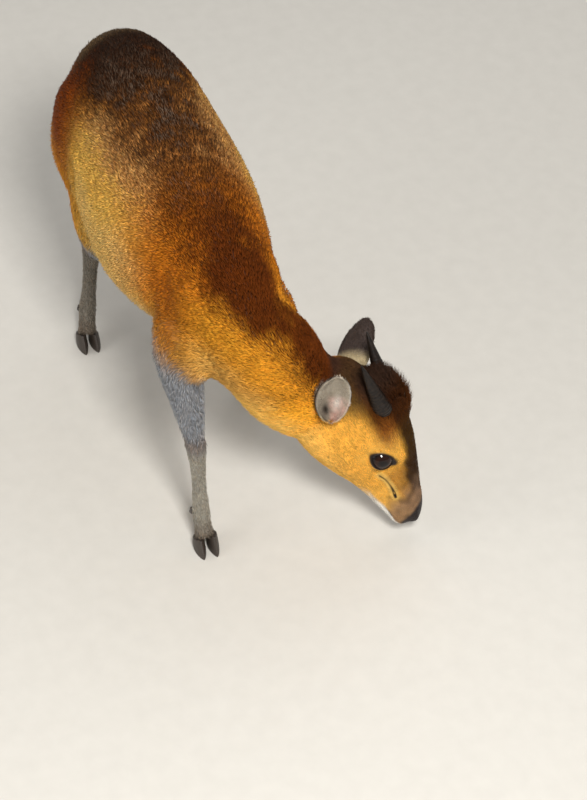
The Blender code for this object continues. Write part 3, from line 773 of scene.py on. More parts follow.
def markings(points, facts, shift):
    """Linear colour of each point and how strongly the hair tips there are grey. The shift moves the
    borders up or down the body. along is metres from the shoulders' origin toward the head, low is the
    height over the floor, and high runs from -1 at the belly to 1 at the back."""
    share = shares_of(facts)
    along = points[:, 0] - MOVED[0]
    low = points[:, 2]
    wavy = waves(points, 0.06, 1) * 0.06 + waves(points, 0.017, 2) * 0.05
    high = facts[:, HEIGHT] + wavy + shift

    # The band narrows from the rump to the shoulders and widens again on the neck
    edge = 0.73 + 0.17 * step(-0.13, -0.03, along) - 0.06 * step(0.05, 0.10, along)
    edge = edge - 0.24 * step(0.120, 0.150, along)
    band = 0.96 * step(edge - 0.12, edge + 0.12, high)
    fore = step(0.00, 0.11, along)
    rump = step(-0.070, -0.140, along)
    chest = step(0.05, 0.10, along) * step(0.165, 0.205, low) * step(0.8, 0.1, high)
    # Where light shines off the flank's hair: a painted highlight, with greyer hair tips
    flank_highlight = step(-0.110, -0.060, along) * step(0.08, 0.00, along)
    pale_edge = step(0.50, 0.10, high) * step(-0.10, -0.05, along) * step(0.08, 0.02, along)
    neck = np.clip(share["neck"] * 1.3, 0, 1) * step(0.090, 0.145, along)
    leg = np.clip(share["leg"] + share["shank"], 0, 1)
    fore_end = along > -0.05
    grey_top = np.where(fore_end, 0.214, 0.165) + wavy * 0.05
    tail = np.clip(share["tail"] * 1.2, 0, 1)
    colour = painted(
        all_over("orange", points),
        ("gold", step(0.95, 0.40, high) * step(0.08, -0.02, along) * (1 - 0.9 * rump)),
        ("gold", 0.6 * step(-0.1, -0.6, high) * (1 - 0.8 * rump)),
        ("rust", 0.42 * step(edge - 0.24, edge - 0.04, high)),
        ("rust", 0.92 * rump * step(-0.6, 0.0, high)),
        ("band_fore", 0.35 * rump * step(-0.1, 0.5, high)),
        ("rust", 0.20 * step(0.05, 0.11, along) * step(0.05, 0.6, high) * share["trunk"]),
        # painted highlight on the flank's hair
        ("painted_highlight", 0.45 * flank_highlight * bell(high - edge + 0.18, 0.15)),
        ("belly", 0.8 * step(-0.50, -0.88, high) * share["trunk"] * (1 - 0.6 * rump)),
        ("belly", 0.35 * pale_edge),
        ("neck", neck * step(0.85, 0.2, high)),
        ("throat", 0.9 * neck * step(0.15, -0.7, high)),
        ("rust", 0.45 * chest),
        ("band", band * (1 - fore)),
        ("band_fore", band * fore),
        # painted highlight on the top of the rump
        ("painted_highlight", 0.25 * band * step(-0.140, -0.168, along)),
        ("leg", np.clip((leg - 0.08) * 3.5, 0, 1) * step(grey_top + 0.012, grey_top - 0.016, low)),
        ("shank", np.clip(share["shank"] * 1.2, 0, 1) * step(0.12, 0.10, low)),
        ("knee", 0.55 * (bell(low - KNEE_HEIGHT, 0.008) * leg)),
        ("pastern", leg * step(0.040, 0.014, low) * 0.85),
        ("pastern", 0.40 * (leg * ~fore_end * step(0.19, 0.13, low))),
        ("band", tail * step(0.285, 0.262, low)),
    )
    tick = step(edge - 0.02, 0.97, high) * (1 - fore) * (1 - 0.8 * rump)
    # the flank's painted highlight also greys the hair tips there
    tick = 0.75 * tick + 0.35 * flank_highlight * bell(high - edge + 0.25, 0.15)
    return colour, np.clip(tick, 0, 1) * (1 - leg) * (1 - 0.6 * tail)


EYE_CORNER = (0.0965, 0.0265, 0.0165)
CHEEK_SPOT = (0.0595, 0.0300, 0.006)
BETWEEN_HORNS = (0.044, 0, 0.040)


def face_markings(points, colour, tick, head_share):
    """The head's own markings, over the body's, in metres of the head's frame. Also tells where the skin
    is bare and where the slit needs the hair kept off."""
    local = in_head(points)
    x, y, z = local[:, 0], np.abs(local[:, 1]), local[:, 2]
    wavy = waves(points, 0.012, 5) * 0.0012
    head = step(0.30, 0.75, head_share) * step(-0.005, 0.02, x)
    ridge = 0.0150 - 0.06 * np.clip(x - 0.09, 0, 1)
    blaze = step(ridge + 0.005, ridge - 0.004, y + wavy) * step(0.012, 0.022, z)
    cheek_front = step(0.098, 0.110, x) * step(0.002, 0.012, z + wavy)
    horn_root = bell(far_from(local, BETWEEN_HORNS, (1, 0, 1)), 0.015, 4)
    behind = step(0.046, 0.026, x) * step(0.010, 0.024, z + wavy) * step(0.05, 0.45, head_share)
    smudge = waves(points, 0.011, 15) * step(0.118, 0.135, x) * step(-0.008, 0.004, z)
    white = step(-0.0085, -0.0120, z + 0.10 * np.clip(0.150 - x, -1, 0.03) + wavy)
    nose = step(0.1545, 0.1590, x + 0.35 * z) * step(-0.0085, -0.0065, z)
    colour = painted(
        colour,
        ("cheek", head),
        ("throat", head * step(0.0, -0.030, z + wavy) * 0.7),
        ("crown", head * step(0.088, 0.062, x) * step(0.020, 0.034, z + wavy) * 0.85),
        ("crown", head * cheek_front * 0.45),
        ("blaze", head * blaze * (0.80 + 0.15 * step(0.06, 0.08, x))),
        ("blaze", head * horn_root * 0.7),
        ("ear_root", behind * 0.8),
        ("muzzle", head * step(0.126, 0.146, x + 2 * wavy + 0.25 * z) * 0.9),
        ("blaze", head * 0.6 * np.clip(smudge, 0, 1)),
        ("lip", head * white * step(0.108, 0.136, x + 2 * wavy)),
        ("nose", head * nose),
    )
    bare = head * nose
    shaved = np.zeros(len(points))
    for side in (1, -1):
        here = local[:, 1] * side > -0.002
        edge = eye_opening(local, side)[1]
        rim = step(1.65, 1.25, edge) * step(0.019, 0.015, far_from(local, on_side(EYE, side))) * here
        corner = bell(far_from(local, on_side(EYE_CORNER, side)), 0.0042) * here
        spot = bell(far_from(local, on_side(CHEEK_SPOT, side), (1.6, 1, 0.55)), 0.0032) * here
        gland, mouth, nostril = [away_from(local, sided(line, side))[0] for line in (GLAND, MOUTH, NOSTRIL)]
        colour = painted(
            colour,
            ("dark_skin_and_shade", rim),
            ("dark_skin_and_shade", 0.75 * corner),
            ("throat", 0.60 * step(0.0055, 0.0020, gland) * here),
            ("slit", step(0.0016, 0.0010, gland) * here),
            ("nose", 0.8 * step(0.0011, 0.0005, mouth) * here),
            ("nose", step(0.0035, 0.0022, nostril) * here),
            ("dark_skin_and_shade", 0.5 * spot * (waves(points, 0.004, 8) > 0)),
        )
        bare = np.maximum(bare, rim)
        shaved = np.maximum(shaved, step(0.0028, 0.0020, gland) * here)
    return colour, tick * (1 - head), bare, shaved


# %% [markdown]
# Each ear is painted by its own place: grey and thinly haired inside, rosy toward the front of its root,
# dark brown on the back with a darker rim. Which side of the leaf a point is on is told by whether it faces
# the middle of the cup, because the cup is nearly shut at its root.


# %% Painting the skin
points = points_of(skin.data)
normals = normals_of(skin.data)
facts = place_on_body(points)
part_share = shares_of(facts)
head_share = part_share["head"]
BLUR = 0.09  # how far up or down the body a hair of the neighbouring colour may grow
paints = []
for shift in (BLUR, -BLUR):
    colour, tick = markings(points, facts, shift)
    colour, tick, bare, shaved = face_markings(points, colour, tick, head_share)
    paints.append(colour)
is_ear = np.zeros(len(points), bool)
is_ear[body_count:] = True
start = body_count
ear_inner = np.zeros(len(points))
ear_lie = np.zeros((len(points), 3))
for word, (side, base, along, opening) in EARS.items():
    some = slice(start, start + ear_counts[word])
    start = some.stop
    origin, axes = ear_axes(base, along, opening)
    local = (points - origin) @ axes
    share = local[:, 0] / EAR_LENGTH
    half, curl, radius, flat = ear_bend(share, word)
    lean = EAR_LEAN * share * share * side
    across = (local[:, 1] - lean) / half
    rear_side = -across * side  # 1 at the rim toward the neck
    rosy = step(0.52, 0.25, share) * step(-0.45, 0.10, -rear_side) * (0.7 + 0.3 * waves(points, 0.010, 11))
    hairs = np.exp(-(((share - 0.22) / 0.17) ** 2 + ((rear_side + 0.34) / 0.28) ** 2))
    # The canal is a dark hole in a real ear. Here it is painted shade near the cup's root.
    canal_shade = np.exp(-(((share - 0.04) / 0.14) ** 2 + ((rear_side - 0.52) / 0.34) ** 2))
    front = painted(
        all_over("ear_inner", points),
        ("ear_rose", rosy),
        ("lip", 0.75 * hairs),
        # painted shade in the canal
        ("dark_skin_and_shade", 0.95 * canal_shade),
    )
    back = painted(
        all_over("ear_back", points),
        ("ear_root", step(0.86, 1.0, np.abs(across)) * 0.8),
        ("ear_pale", 0.8 * step(0.34, 0.12, share)),
    )
    facing = normals @ axes
    hollow = facing[:, 1] * (lean - local[:, 1]) + facing[:, 2] * (radius * np.cos(curl) * flat - local[:, 2])
    inner = np.where(share < 0.30, hollow > 0, facing[:, 2] > 0) * 1.0
    ear = painted(
        back + (front - back) * inner[:, None],
        ("ear_root", 0.85 * step(0.88, 0.97, rear_side)),
        ("lip", 0.60 * inner * step(0.86, 0.97, -rear_side) * step(0.9, 0.7, share)),
        ("cheek", 0.85 * (1 - inner) * step(0.04, -0.10, share) * (local[:, 2] > -0.012)),
    )
    floor_of_ear = step(1.05, 0.90, np.abs(across)) * step(-0.20, -0.10, share) * step(0.50, 0.42, share)
    floor_of_ear = floor_of_ear * step(0.020, 0.014, np.abs(local[:, 2])) * ~is_ear
    behind_ear = step(0.018, 0.010, length_of(local)[:, 0]) * step(0.000, -0.006, local[:, 2]) * ~is_ear
    for colour in paints:
        colour[some] = ear[some]
        colour += (front - colour) * floor_of_ear[:, None]
        colour += (TINTS["ear_pale"] - colour) * 0.6 * behind_ear[:, None]
    ear_inner[some] = inner[some]
    ear_lie[some] = axes[:, 0]
colour = (paints[0] + paints[1]) / 2
tick[is_ear] = 0
bare[is_ear] = np.where(ear_inner[is_ear] > 0.5, 0.25, 0)
print("skin painted; share of points on bare skin:", round(float((bare > 0.5).mean()), 3))

# %% [markdown]
# The lie of the hair comes from the skeleton. On the flank it also falls, more so half way down, and on
# the cheek it runs back and down to the jaw. A slow turn left and right gives the partings that a real
# coat has.

# %% Lie and length of the hair
lie = facts[:, LIE]
height = facts[:, HEIGHT]
on_trunk = np.clip(part_share["trunk"] + part_share["neck"] * 0.6, 0, 1)
fall = on_trunk * step(0.95, 0.35, height) * step(-0.98, -0.6, height)
lie = unit(lie) + fall[:, None] * np.array((0, 0, -0.85))
lie = np.where(is_ear[:, None], ear_lie, lie)
lie = unit(lie - (lie * normals).sum(1, keepdims=True) * normals)
turn = 0.16 * waves(points, 0.05, 21) + 0.08 * waves(points, 0.016, 22)
turn = turn * (1 - 0.5 * np.clip(part_share["neck"] + head_share, 0, 1))
lie = unit(lie + np.cross(normals, lie) * turn[:, None])

HAIR_LENGTH = dict(tail=0.020, trunk=0.0128, neck=0.0110, head=0.0046, leg=0.0080, shank=0.0046)
HAIR_WIDTH = dict(tail=0.0009, trunk=0.00078, neck=0.00066, head=0.00040, leg=0.00062, shank=0.00045)
hair_length = by_part(facts[:, : len(PARTS)], HAIR_LENGTH)
hair_width = by_part(facts[:, : len(PARTS)], HAIR_WIDTH)
local = in_head(points)
muzzle = step(0.085, 0.145, local[:, 0]) * head_share
hair_length = hair_length * (1 - 0.62 * muzzle)
hair_width = hair_width * (1 - 0.35 * muzzle)
near_eye = np.minimum(*[far_from(local, on_side(EYE, side)) for side in (1, -1)])
hair_length = hair_length * (0.40 + 0.60 * step(0.012, 0.026, near_eye))
near_gland = np.minimum(*[away_from(local, sided(GLAND, side))[0] for side in (1, -1)])
hair_length = np.minimum(hair_length, 0.0018 + 0.006 * step(0.003, 0.010, near_gland))
crest = crest_share(local) * head_share
HORN_ROOT = (0.0500, 0.0150, 0.0400)
near_horn = np.minimum(*[far_from(local, on_side(HORN_ROOT, side)) for side in (1, -1)])
horn_root_hair = step(0.016, 0.009, near_horn) * head_share
hair_length = hair_length + 0.0090 * crest + 0.0035 * horn_root_hair
hair_width = hair_width + 0.00025 * crest
off_legs = np.clip(1 - part_share["leg"] - part_share["shank"], 0, 1)
fringe = step(-0.15, -0.75, height) * off_legs * (1 - muzzle)
hair_length = hair_length * (1 + 0.25 * fringe)
extra_lift = 44 * crest + 14 * horn_root_hair + 9 * fringe + 4 * (1 - head_share)
EAR_HAIR = (0.0022, 0.0004)  # length and width
hair_length = np.where(is_ear, EAR_HAIR[0], hair_length)
hair_width = np.where(is_ear, EAR_HAIR[1], hair_width)
coat_thick = np.clip(1 - bare * 1.6, 0, 1) * (1 - shaved)
print("hair in mm, shortest and longest:", in_mm((hair_length.min(), hair_length.max())))

# %% [markdown]
# A tuft is a small closed spindle: a root point in the skin, a three-cornered waist where the hairs rise,
# and a tip that lies down again. Six triangles are enough, because there are nearly a quarter of a million
# tufts. Each stands on a random point of the skin, with more of them where the coat is thick.

# %% Growing tufts
corners, corner_loops = triangles_of(skin.data)
corner_uv = rows_of(skin.data.uv_layers["OFBake"].data, "uv", 2)[corner_loops]
edge_a = points[corners[:, 1]] - points[corners[:, 0]]
edge_b = points[corners[:, 2]] - points[corners[:, 0]]
areas = length_of(np.cross(edge_a, edge_b))[:, 0] / 2
print("skin area in square metres:", round(float(areas.sum()), 4), "triangles:", len(corners))
PATCH = 0.0015  # half the width of a tuft's patch on the unwrap
TUFT_FACES = np.array([(1, 2, 4), (2, 3, 4), (3, 1, 4), (2, 1, 0), (3, 2, 0), (1, 3, 0)])
PATCH_SPOTS = np.array([(-1, 0), (0, -0.8), (0, 0.8), (0.2, 0), (1, 0)]) * PATCH
QUICK_SHARE = 1.0
ROOT_DEPTH = 0.0003  # how deep in the skin a tuft begins
WAIST = 0.42  # share of a tuft's length up to its widest place
ROOT_SHADE = 0.70  # the root's colour, which lies in the coat's own shade
STEEPER, FLATTER = 7, 8  # degrees by which a tuft's lower part stands up, and its tip lies down


def grow(name, area_weight, count, seed, lift=13, spread=8, tick_share=0.45):
    """A coat piece of that many tufts, rooted where area_weight says."""
    rng = np.random.default_rng(seed)
    count = int(count * QUICK_SHARE)
    chance = areas * area_weight[corners].mean(1) * coat_thick[corners].mean(1)
    chosen = rng.choice(len(corners), count, p=chance / chance.sum())
    a, b = rng.random(count), rng.random(count)
    over = a + b > 1
    a, b = np.where(over, 1 - a, a), np.where(over, 1 - b, b)
    part = np.stack([1 - a - b, a, b], 1)[:, :, None]
    three = corners[chosen]

    def at_root(values):
        values = values if values.ndim > 1 else values[:, None]
        return (values[three] * part).sum(1)

    root, out, way = at_root(points), unit(at_root(normals)), unit(at_root(lie))
    which = rng.random((count, 1))
    shade, grey = at_root(paints[0]) * which + at_root(paints[1]) * (1 - which), at_root(tick)[:, 0]
    swing = np.radians(rng.normal(0, spread, count))[:, None]
    way = way * np.cos(swing) + np.cross(out, way) * np.sin(swing)
    way = unit(way - (way * out).sum(1, keepdims=True) * out)
    across = np.cross(out, way)
    long = at_root(hair_length) * rng.uniform(0.7, 1.25, count)[:, None]
    wide = at_root(hair_width) * rng.uniform(0.7, 1.3, count)[:, None]
    stand = lift + at_root(extra_lift)[:, 0]
    rise = np.radians(stand + STEEPER + rng.normal(0, 4, count))[:, None]
    settle = np.radians(stand - FLATTER + rng.normal(0, 5, count))[:, None]
    waist = root + long * WAIST * (way * np.cos(rise) + out * np.sin(rise))
    tip = waist + long * (1 - WAIST) * (way * np.cos(settle) + out * np.sin(settle))
    side_step, top = across * wide / 2, waist + out * wide * 0.4
    five = np.stack([root - out * ROOT_DEPTH, waist - side_step, waist + side_step, top, tip], 1)
    ticked = (rng.random(count) < tick_share) * grey * rng.uniform(0.4, 1.0, count)
    tone = rng.normal(1.0, 0.13, count)[:, None]
    warm = 1 + rng.normal(0, 0.04, (count, 1)) * np.array((1, 0, -1))
    shade = np.clip(shade * tone * warm, 0.002, 1)
    # The tip is painted 12% lighter and the waist's outer corner 4% lighter: painted light where the tuft
    # stands out of the coat's shade
    end = shade * 1.12 + (TINTS["band_tick"] - shade * 1.12) * ticked[:, None]
    body = shade + (end - shade) * 0.35
    paint = np.stack([shade * ROOT_SHADE, body, body, body * 1.04, end], 1)

    mesh = bpy.data.meshes.new(name)
    mesh.vertices.add(count * 5)
    mesh.vertices.foreach_set("co", five.astype(np.float32).ravel())
    faces = (np.arange(count)[:, None, None] * 5 + TUFT_FACES).reshape(-1, 3)
    mesh.loops.add(len(faces) * 3)
    mesh.polygons.add(len(faces))
    mesh.polygons.foreach_set("loop_start", np.arange(len(faces), dtype=np.int32) * 3)
    mesh.loops.foreach_set("vertex_index", faces.astype(np.int32).ravel())
    mesh.update(calc_edges=True)
    mesh.shade_smooth()
    layer = mesh.uv_layers.new(name="OFBake")
    root_uv = (corner_uv[chosen] * part).sum(1)
    spots = root_uv[:, None, :] + PATCH_SPOTS
    layer.data.foreach_set("uv", spots.reshape(-1, 2)[faces.ravel()].astype(np.float32).ravel())
    put_values(mesh, "coat", paint.reshape(-1, 3))
    print(name, "has", count, "tufts and", len(faces), "triangles")
    return add_object(name, mesh)


# %% [markdown]
# No piece may hold more than 200,000 triangles, so the coat is grown in seven, each over a zone of the
# body whose edge fades into the next. All have the same number of tufts, so the coat is densest on the legs
# and the face, where the hair is short.

# %% The coat, piece by piece
FULL = 33300  # tufts in a piece, of six triangles each
body_only = (~is_ear).astype(float)
trunk = step(0.35, 0.65, part_share["trunk"]) * body_only
right_side = (points[:, 1] - MOVED[1] < 0.14 * (points[:, 0] - MOVED[0]) ** 2).astype(float)
back = step(0.50, 0.62, height)
head_zone = step(0.40, 0.60, head_share) * body_only
legs_zone = np.clip(part_share["leg"] + part_share["shank"], 0, 1) * body_only
neck_zone = step(0.30, 0.60, part_share["neck"]) * body_only
tail_zone = part_share["tail"] * body_only
face_zone = head_zone * step(0.055, 0.075, local[:, 0])
coats = [
    grow("coat_back", trunk * back, FULL, 101),
    grow("coat_flank_right", trunk * (1 - back) * right_side, FULL, 102),
    grow("coat_flank_left", trunk * (1 - back) * (1 - right_side), FULL, 103),
    grow("coat_neck", neck_zone + 0.8 * tail_zone, FULL, 104, lift=12, spread=6, tick_share=0.3),
    grow("coat_legs", legs_zone * (1 + 1.2 * part_share["shank"]), FULL, 105, lift=11),
    grow("coat_face", head_zone, FULL, 106, lift=9, spread=8),
    grow("coat_crown_and_ears", head_zone * (1 - face_zone) + is_ear * 1.2, FULL, 107, lift=12),
]


# %% [markdown]
# The materials come next. Their nodes repeat: a noise or bands at a place, a ramp of colours, a mix and a
# bump. Each is one short function. Scales are in bumps to the metre, so that they follow from sizes on the
# real animal.


# %% Helpers for materials
def add_node(tree, kind, inputs=(), **settings):
    """Adds a node with its settings, and links or sets its inputs."""
    made = tree.nodes.new(kind)
    for key, value in settings.items():
        setattr(made, key, value)
    for key, value in dict(inputs).items():
        if isinstance(value, bpy.types.NodeSocket):
            tree.links.new(value, made.inputs[key])
        else:
            made.inputs[key].default_value = value
    return made


def new_material(name, roughness, specular, **sockets):
    """A material's tree and shader, with the shader's constants set on its own sockets."""
    material = bpy.data.materials.new(name)
    material.use_nodes = True
    shader = material.node_tree.nodes["Principled BSDF"]
    sockets = {"Roughness": roughness, "Specular IOR Level": specular, **sockets}
    for key, value in sockets.items():
        shader.inputs[key].default_value = value
    return material, material.node_tree, shader


def stored(tree, name):
    """The number or colour that the mesh holds under that name."""
    return add_node(tree, "ShaderNodeAttribute", attribute_name=name)


def own_place(tree):
    """The place on the object itself, in metres."""
    return add_node(tree, "ShaderNodeTexCoord").outputs["Object"]


def noise(tree, place, scale, detail=3.0, distortion=0.0):
    sockets = {"Vector": place, "Scale": scale, "Detail": detail, "Distortion": distortion}
    return add_node(tree, "ShaderNodeTexNoise", sockets)


def ranged(tree, value, start, end, low, high):
    """Brings what lies between start and end to between low and high."""
    sockets = {"Value": value, "From Min": start, "From Max": end, "To Min": low, "To Max": high}
    return add_node(tree, "ShaderNodeMapRange", sockets).outputs["Result"]


def mixed(tree, share, first, second, way="MIX"):
    """The second colour over the first, as strong as the share."""
    sockets = {0: share, 6: first, 7: second}
    return add_node(tree, "ShaderNodeMix", sockets, data_type="RGBA", blend_type=way).outputs[2]


def ramp(tree, share, *stops):
    """A colour for each share, by stops of (position, hex colour) in rising order."""
    made = add_node(tree, "ShaderNodeValToRGB", {"Fac": share})
    elements = made.color_ramp.elements
    for where, _ in stops[1:-1]:
        elements.new(where)
    for element, (where, code) in zip(elements, stops):
        element.position = where
        element.color = (*linear(code), 1)
    return made.outputs["Color"]


def surface(tree, shader, colour, height=None, distance=0.0, strength=0.0):
    """Links the surface's colour and, where a height is given, its relief of that many metres."""
    tree.links.new(colour, shader.inputs["Base Color"])
    if height is not None:
        sockets = {"Height": height, "Distance": distance, "Strength": strength}
        bump = add_node(tree, "ShaderNodeBump", sockets)
        tree.links.new(bump.outputs["Normal"], shader.inputs["Normal"])


def painted_colour(tree, place, scale, low, high):
    """The mesh's painted colour, made lighter and darker in blotches."""
    blotches = noise(tree, place, scale, 4.0).outputs["Fac"]
    amount = ranged(tree, blotches, 0.3, 0.7, low, high)
    return mixed(tree, 1.0, stored(tree, "coat").outputs["Color"], amount, "MULTIPLY")


# %% [markdown]
# A duiker's hair is short straight keratin, matt, with a soft shine where light grazes it. Its colours are
# painted on the tufts, and a noise with bumps of about 9 mm breaks them up as uneven hairs do.

# %% Hair
hair, tree, shader = new_material("short_keratin_hair", 0.60, 0.06)
surface(tree, shader, painted_colour(tree, own_place(tree), 110, 0.88, 1.16))
for coat in coats:
    coat.data.materials.append(hair)
    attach(coat, "root")
print(len(coats), "coat pieces are ready")

# %% [markdown]
# The skin is hide with a fine down between the tufts, and bare on the nose and the eyes' rims. There it
# is damp, so it shines more, and it is pebbled in grains of a millimetre. It has the coat's colours, but
# darker under hair, because it lies in the coat's shade.

# %% Skin
SKIN_SHADE = 0.80  # the skin under hair next to the hair's own colour
under = colour * (SKIN_SHADE + (1 - SKIN_SHADE) * np.clip(bare + is_ear * 0.6, 0, 1))[:, None]
put_values(skin.data, "coat", under)
put_values(skin.data, "bare", bare)
hide, tree, shader = new_material("hide_under_short_hair", 0.62, 0.25)
place = own_place(tree)
naked = stored(tree, "bare").outputs["Fac"]
down = noise(tree, place, 1400).outputs["Fac"]
pebbles = add_node(tree, "ShaderNodeTexVoronoi", {"Vector": place, "Scale": 1100.0}).outputs["Distance"]
grainy = add_node(tree, "ShaderNodeMix", {0: naked, 2: down, 3: pebbles}, data_type="FLOAT").outputs[0]
surface(tree, shader, painted_colour(tree, place, 160, 0.72, 1.10), grainy, 0.0006, 0.5)
tree.links.new(ranged(tree, naked, 0.0, 1.0, 0.66, 0.46), shader.inputs["Roughness"])
skin.data.materials.clear()
skin.data.materials.append(hide)
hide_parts(*[name for name in flesh_nodes if not name.startswith("eye")], "ear_left", "ear_right")
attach(skin, "root")
print("the skin is finished")

# %% [markdown]
# A duiker's eye is almost black, with a dark brown iris that shows only in strong light and a level,
# oblong pupil. A ball with the cornea's bulge in front is enough, because the lids hide the rest. Its
# surface is wet and nearly as smooth as glass, which gives the small sharp glints that make an eye look
# alive.

# %% Eyes
CORNEA_BULGE = 0.0006
PUPIL = (0.40, 0.24)  # half length and half height, in eyeball radii


def new_eyeball(word, side):
    along, up, out = eye_axes(side)
    bpy.ops.object.select_all(action="DESELECT")
    bpy.ops.mesh.primitive_uv_sphere_add(segments=64, ring_count=40, radius=EYE_RADIUS)
    eye = bpy.context.object
    eye.name = "eyeball_" + word
    eye.data.uv_layers.remove(eye.data.uv_layers[0])
    local = points_of(eye.data)
    ahead = local[:, 2] / EYE_RADIUS
    local = local * (1 + CORNEA_BULGE / EYE_RADIUS * step(0.72, 0.95, ahead))[:, None]
    across = np.abs(local[:, 0]) / EYE_RADIUS
    high = np.abs(local[:, 1]) / EYE_RADIUS
    ring = np.where(ahead > 0, np.sqrt(across**2 + high**2), 1.0)
    put_values(eye.data, "iris", ring)
    oblong = np.where(ahead > 0, np.sqrt((across / PUPIL[0]) ** 2 + (high / PUPIL[1]) ** 2), 9.0)
    put_values(eye.data, "pupil", oblong)
    axes = HEAD @ np.stack([along, np.cross(out, along), out], 1)
    put_points(eye.data, local @ axes.T + from_head(on_side(EYE, side)))
    eye.data.shade_smooth()
    return eye


cornea, tree, shader = new_material("wet_dark_eye", 0.08, 0.50, IOR=1.38)
fibres = noise(tree, own_place(tree), 900).outputs["Color"]
ring = stored(tree, "iris").outputs["Fac"]
iris = ramp(tree, ring, (0.30, "#1F0D07"), (0.55, "#2A1208"), (0.74, "#0F0604"))
veined = mixed(tree, 0.35, iris, fibres, "MULTIPLY")
past_pupil = ranged(tree, stored(tree, "pupil").outputs["Fac"], 0.9, 1.1, 0.0, 1.0)
surface(tree, shader, mixed(tree, past_pupil, (*linear("#0A0403"), 1), veined))
for word, side in SIDES.items():
    eye = new_eyeball(word, side)
    eye.data.materials.append(cornea)
    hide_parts("eye_" + word)
    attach(eye, "root")
print("eyes made")

# %% [markdown]
# A duiker's horn is a short straight cone of black keratin with crowded rings round its base and fine
# lengthwise grooves. It is extruded ring by ring from a circle, each ring scaled to the cone's outline
# with the swell of the growth rings on it, and the grooves are pressed in afterwards.

# %% Horns
HORN_LENGTH = 0.052
HORN_BASE_RADIUS = 0.0086
HORN_BASE = Vector((0.0425, 0.0145, 0.0405))
HORN_AXIS = Vector((-0.961, 0.190, 0.160))
HORN_BEND = 0.0015
HORN_OUTLINE = {  # share of the length, from inside the head to the tip, and of the base's radius
    -0.16: 0.50, -0.09: 0.82, 0.0: 1.0, 0.12: 0.94, 0.28: 0.73, 0.60: 0.48, 0.88: 0.24, 1.0: 0.07
}
HORN_START = min(HORN_OUTLINE)
HORN_RINGS, HORN_SIDES = 72, 40
GROWTH_RING = 0.0031  # from one growth ring to the next
RING_DEPTH = 0.00095
GROOVES, GROOVE_DEPTH = 9, 0.00016


def horn_radius(share):
    """The horn's radius at a share of its length, growth rings included."""
    plain = float(np.interp(share, list(HORN_OUTLINE), list(HORN_OUTLINE.values()))) * HORN_BASE_RADIUS
    ringed = float(step(0.62, 0.36, share)) * RING_DEPTH
    wave = abs(math.sin(math.pi * share * HORN_LENGTH / GROWTH_RING)) ** 0.6
    return plain + ringed * (wave - 0.6)


def new_horn():
    """A horn along +Z from the origin."""
    bpy.ops.object.select_all(action="DESELECT")
    bpy.ops.mesh.primitive_circle_add(
        vertices=HORN_SIDES,
        radius=horn_radius(HORN_START),
        fill_type="NGON",
        location=(0, 0, HORN_START * HORN_LENGTH),
    )
    horn = bpy.context.object
    bpy.ops.object.mode_set(mode="EDIT")
    bpy.ops.mesh.select_all(action="SELECT")
    for i in range(HORN_RINGS):
        before = HORN_START + (1 - HORN_START) * i / HORN_RINGS
        share = HORN_START + (1 - HORN_START) * (i + 1) / HORN_RINGS
        rise = (share - before) * HORN_LENGTH
        bpy.ops.mesh.extrude_region_move(TRANSFORM_OT_translate={"value": (0, 0, rise)})
        narrow = horn_radius(share) / horn_radius(before)
        bpy.ops.transform.resize(value=(narrow, narrow, 1), center_override=(0, 0, share * HORN_LENGTH))
    face_outward()
    bpy.ops.object.mode_set(mode="OBJECT")
    bpy.ops.object.transform_apply(location=True, rotation=True, scale=True)
    return horn


horn_model = new_horn()
upright = points_of(horn_model.data)
print("the horn has", len(upright), "points and ends, in mm, at", in_mm([upright[:, 2].max()]))
angle = np.arctan2(upright[:, 1], upright[:, 0])
groove = GROOVE_DEPTH * np.maximum(0, np.sin(angle * GROOVES + 0.8 * np.sin(upright[:, 2] * 160))) ** 2
thin = np.maximum(length_of(upright[:, :2])[:, 0], 1e-6)
upright[:, :2] *= (1 - groove / thin * step(0.0005, 0.003, thin))[:, None]

# %% [markdown]
# Horn is keratin, near black and polished in part by rubbing, so it is half matt, and its grain shows as
# small browner patches in low relief. The second horn is a copy of the first, and both are bent up a
# little while they are set on the forehead.

# %% Horns in place
horn_keratin, tree, shader = new_material("ringed_horn_keratin", 0.45, 0.30)
grain = noise(tree, own_place(tree), 420, 5.0, 0.4).outputs["Fac"]
surface(tree, shader, ramp(tree, grain, (0.35, "#0A0605"), (0.75, "#281D15")), grain, 0.0003, 0.5)
for word, side in SIDES.items():
    name = "horn_keratin_" + word
    horn = horn_model if side == 1 else add_object(name, horn_model.data.copy())
    horn.name = name
    axis = (HORN_AXIS * Vector((1, side, 1))).normalized()
    sideways = unit(np.cross(axis, (0, side, 0)))
    axes = np.stack([sideways, np.cross(axis, sideways), axis], 1)
    share = upright[:, 2:3] / HORN_LENGTH
    local = upright @ axes.T + on_side(HORN_BASE, side) + share * share * (0, 0, HORN_BEND)
    put_points(horn.data, from_head(local))
    horn.data.shade_smooth()
    horn.data.materials.append(horn_keratin)
    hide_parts("horn_" + word)
    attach(horn, "root")
print("horns in place")

# %% [markdown]
# Hooves and dewclaws keep the CAD's shape, because the animal stands on them. A copy of each has its
# triangles merged to quads and is rounded by a subdivision surface, with the sole's and the coronet's
# edges creased so that they stay where they are. Hoof horn is keratin that grows down from the coronet, so
# level bands of about 1.5 mm, a little uneven, run round it in colour and relief, and its wear leaves it
# half matt.

# %% Hooves and dewclaws
CREASE = 0.9
hoof_horn, tree, shader = new_material("hoof_horn", 0.45, 0.45)
# The wave texture makes 20 / (2 pi) bands for each unit of its scale
sockets = {"Vector": own_place(tree), "Scale": 210.0, "Distortion": 2.2, "Detail": 3.0, "Detail Scale": 1.5}
bands = add_node(tree, "ShaderNodeTexWave", sockets, bands_direction="Z").outputs["Fac"]
surface(tree, shader, ramp(tree, bands, (0.0, "#1E1916"), (1.0, "#4A4038")), bands, 0.0002, 0.6)


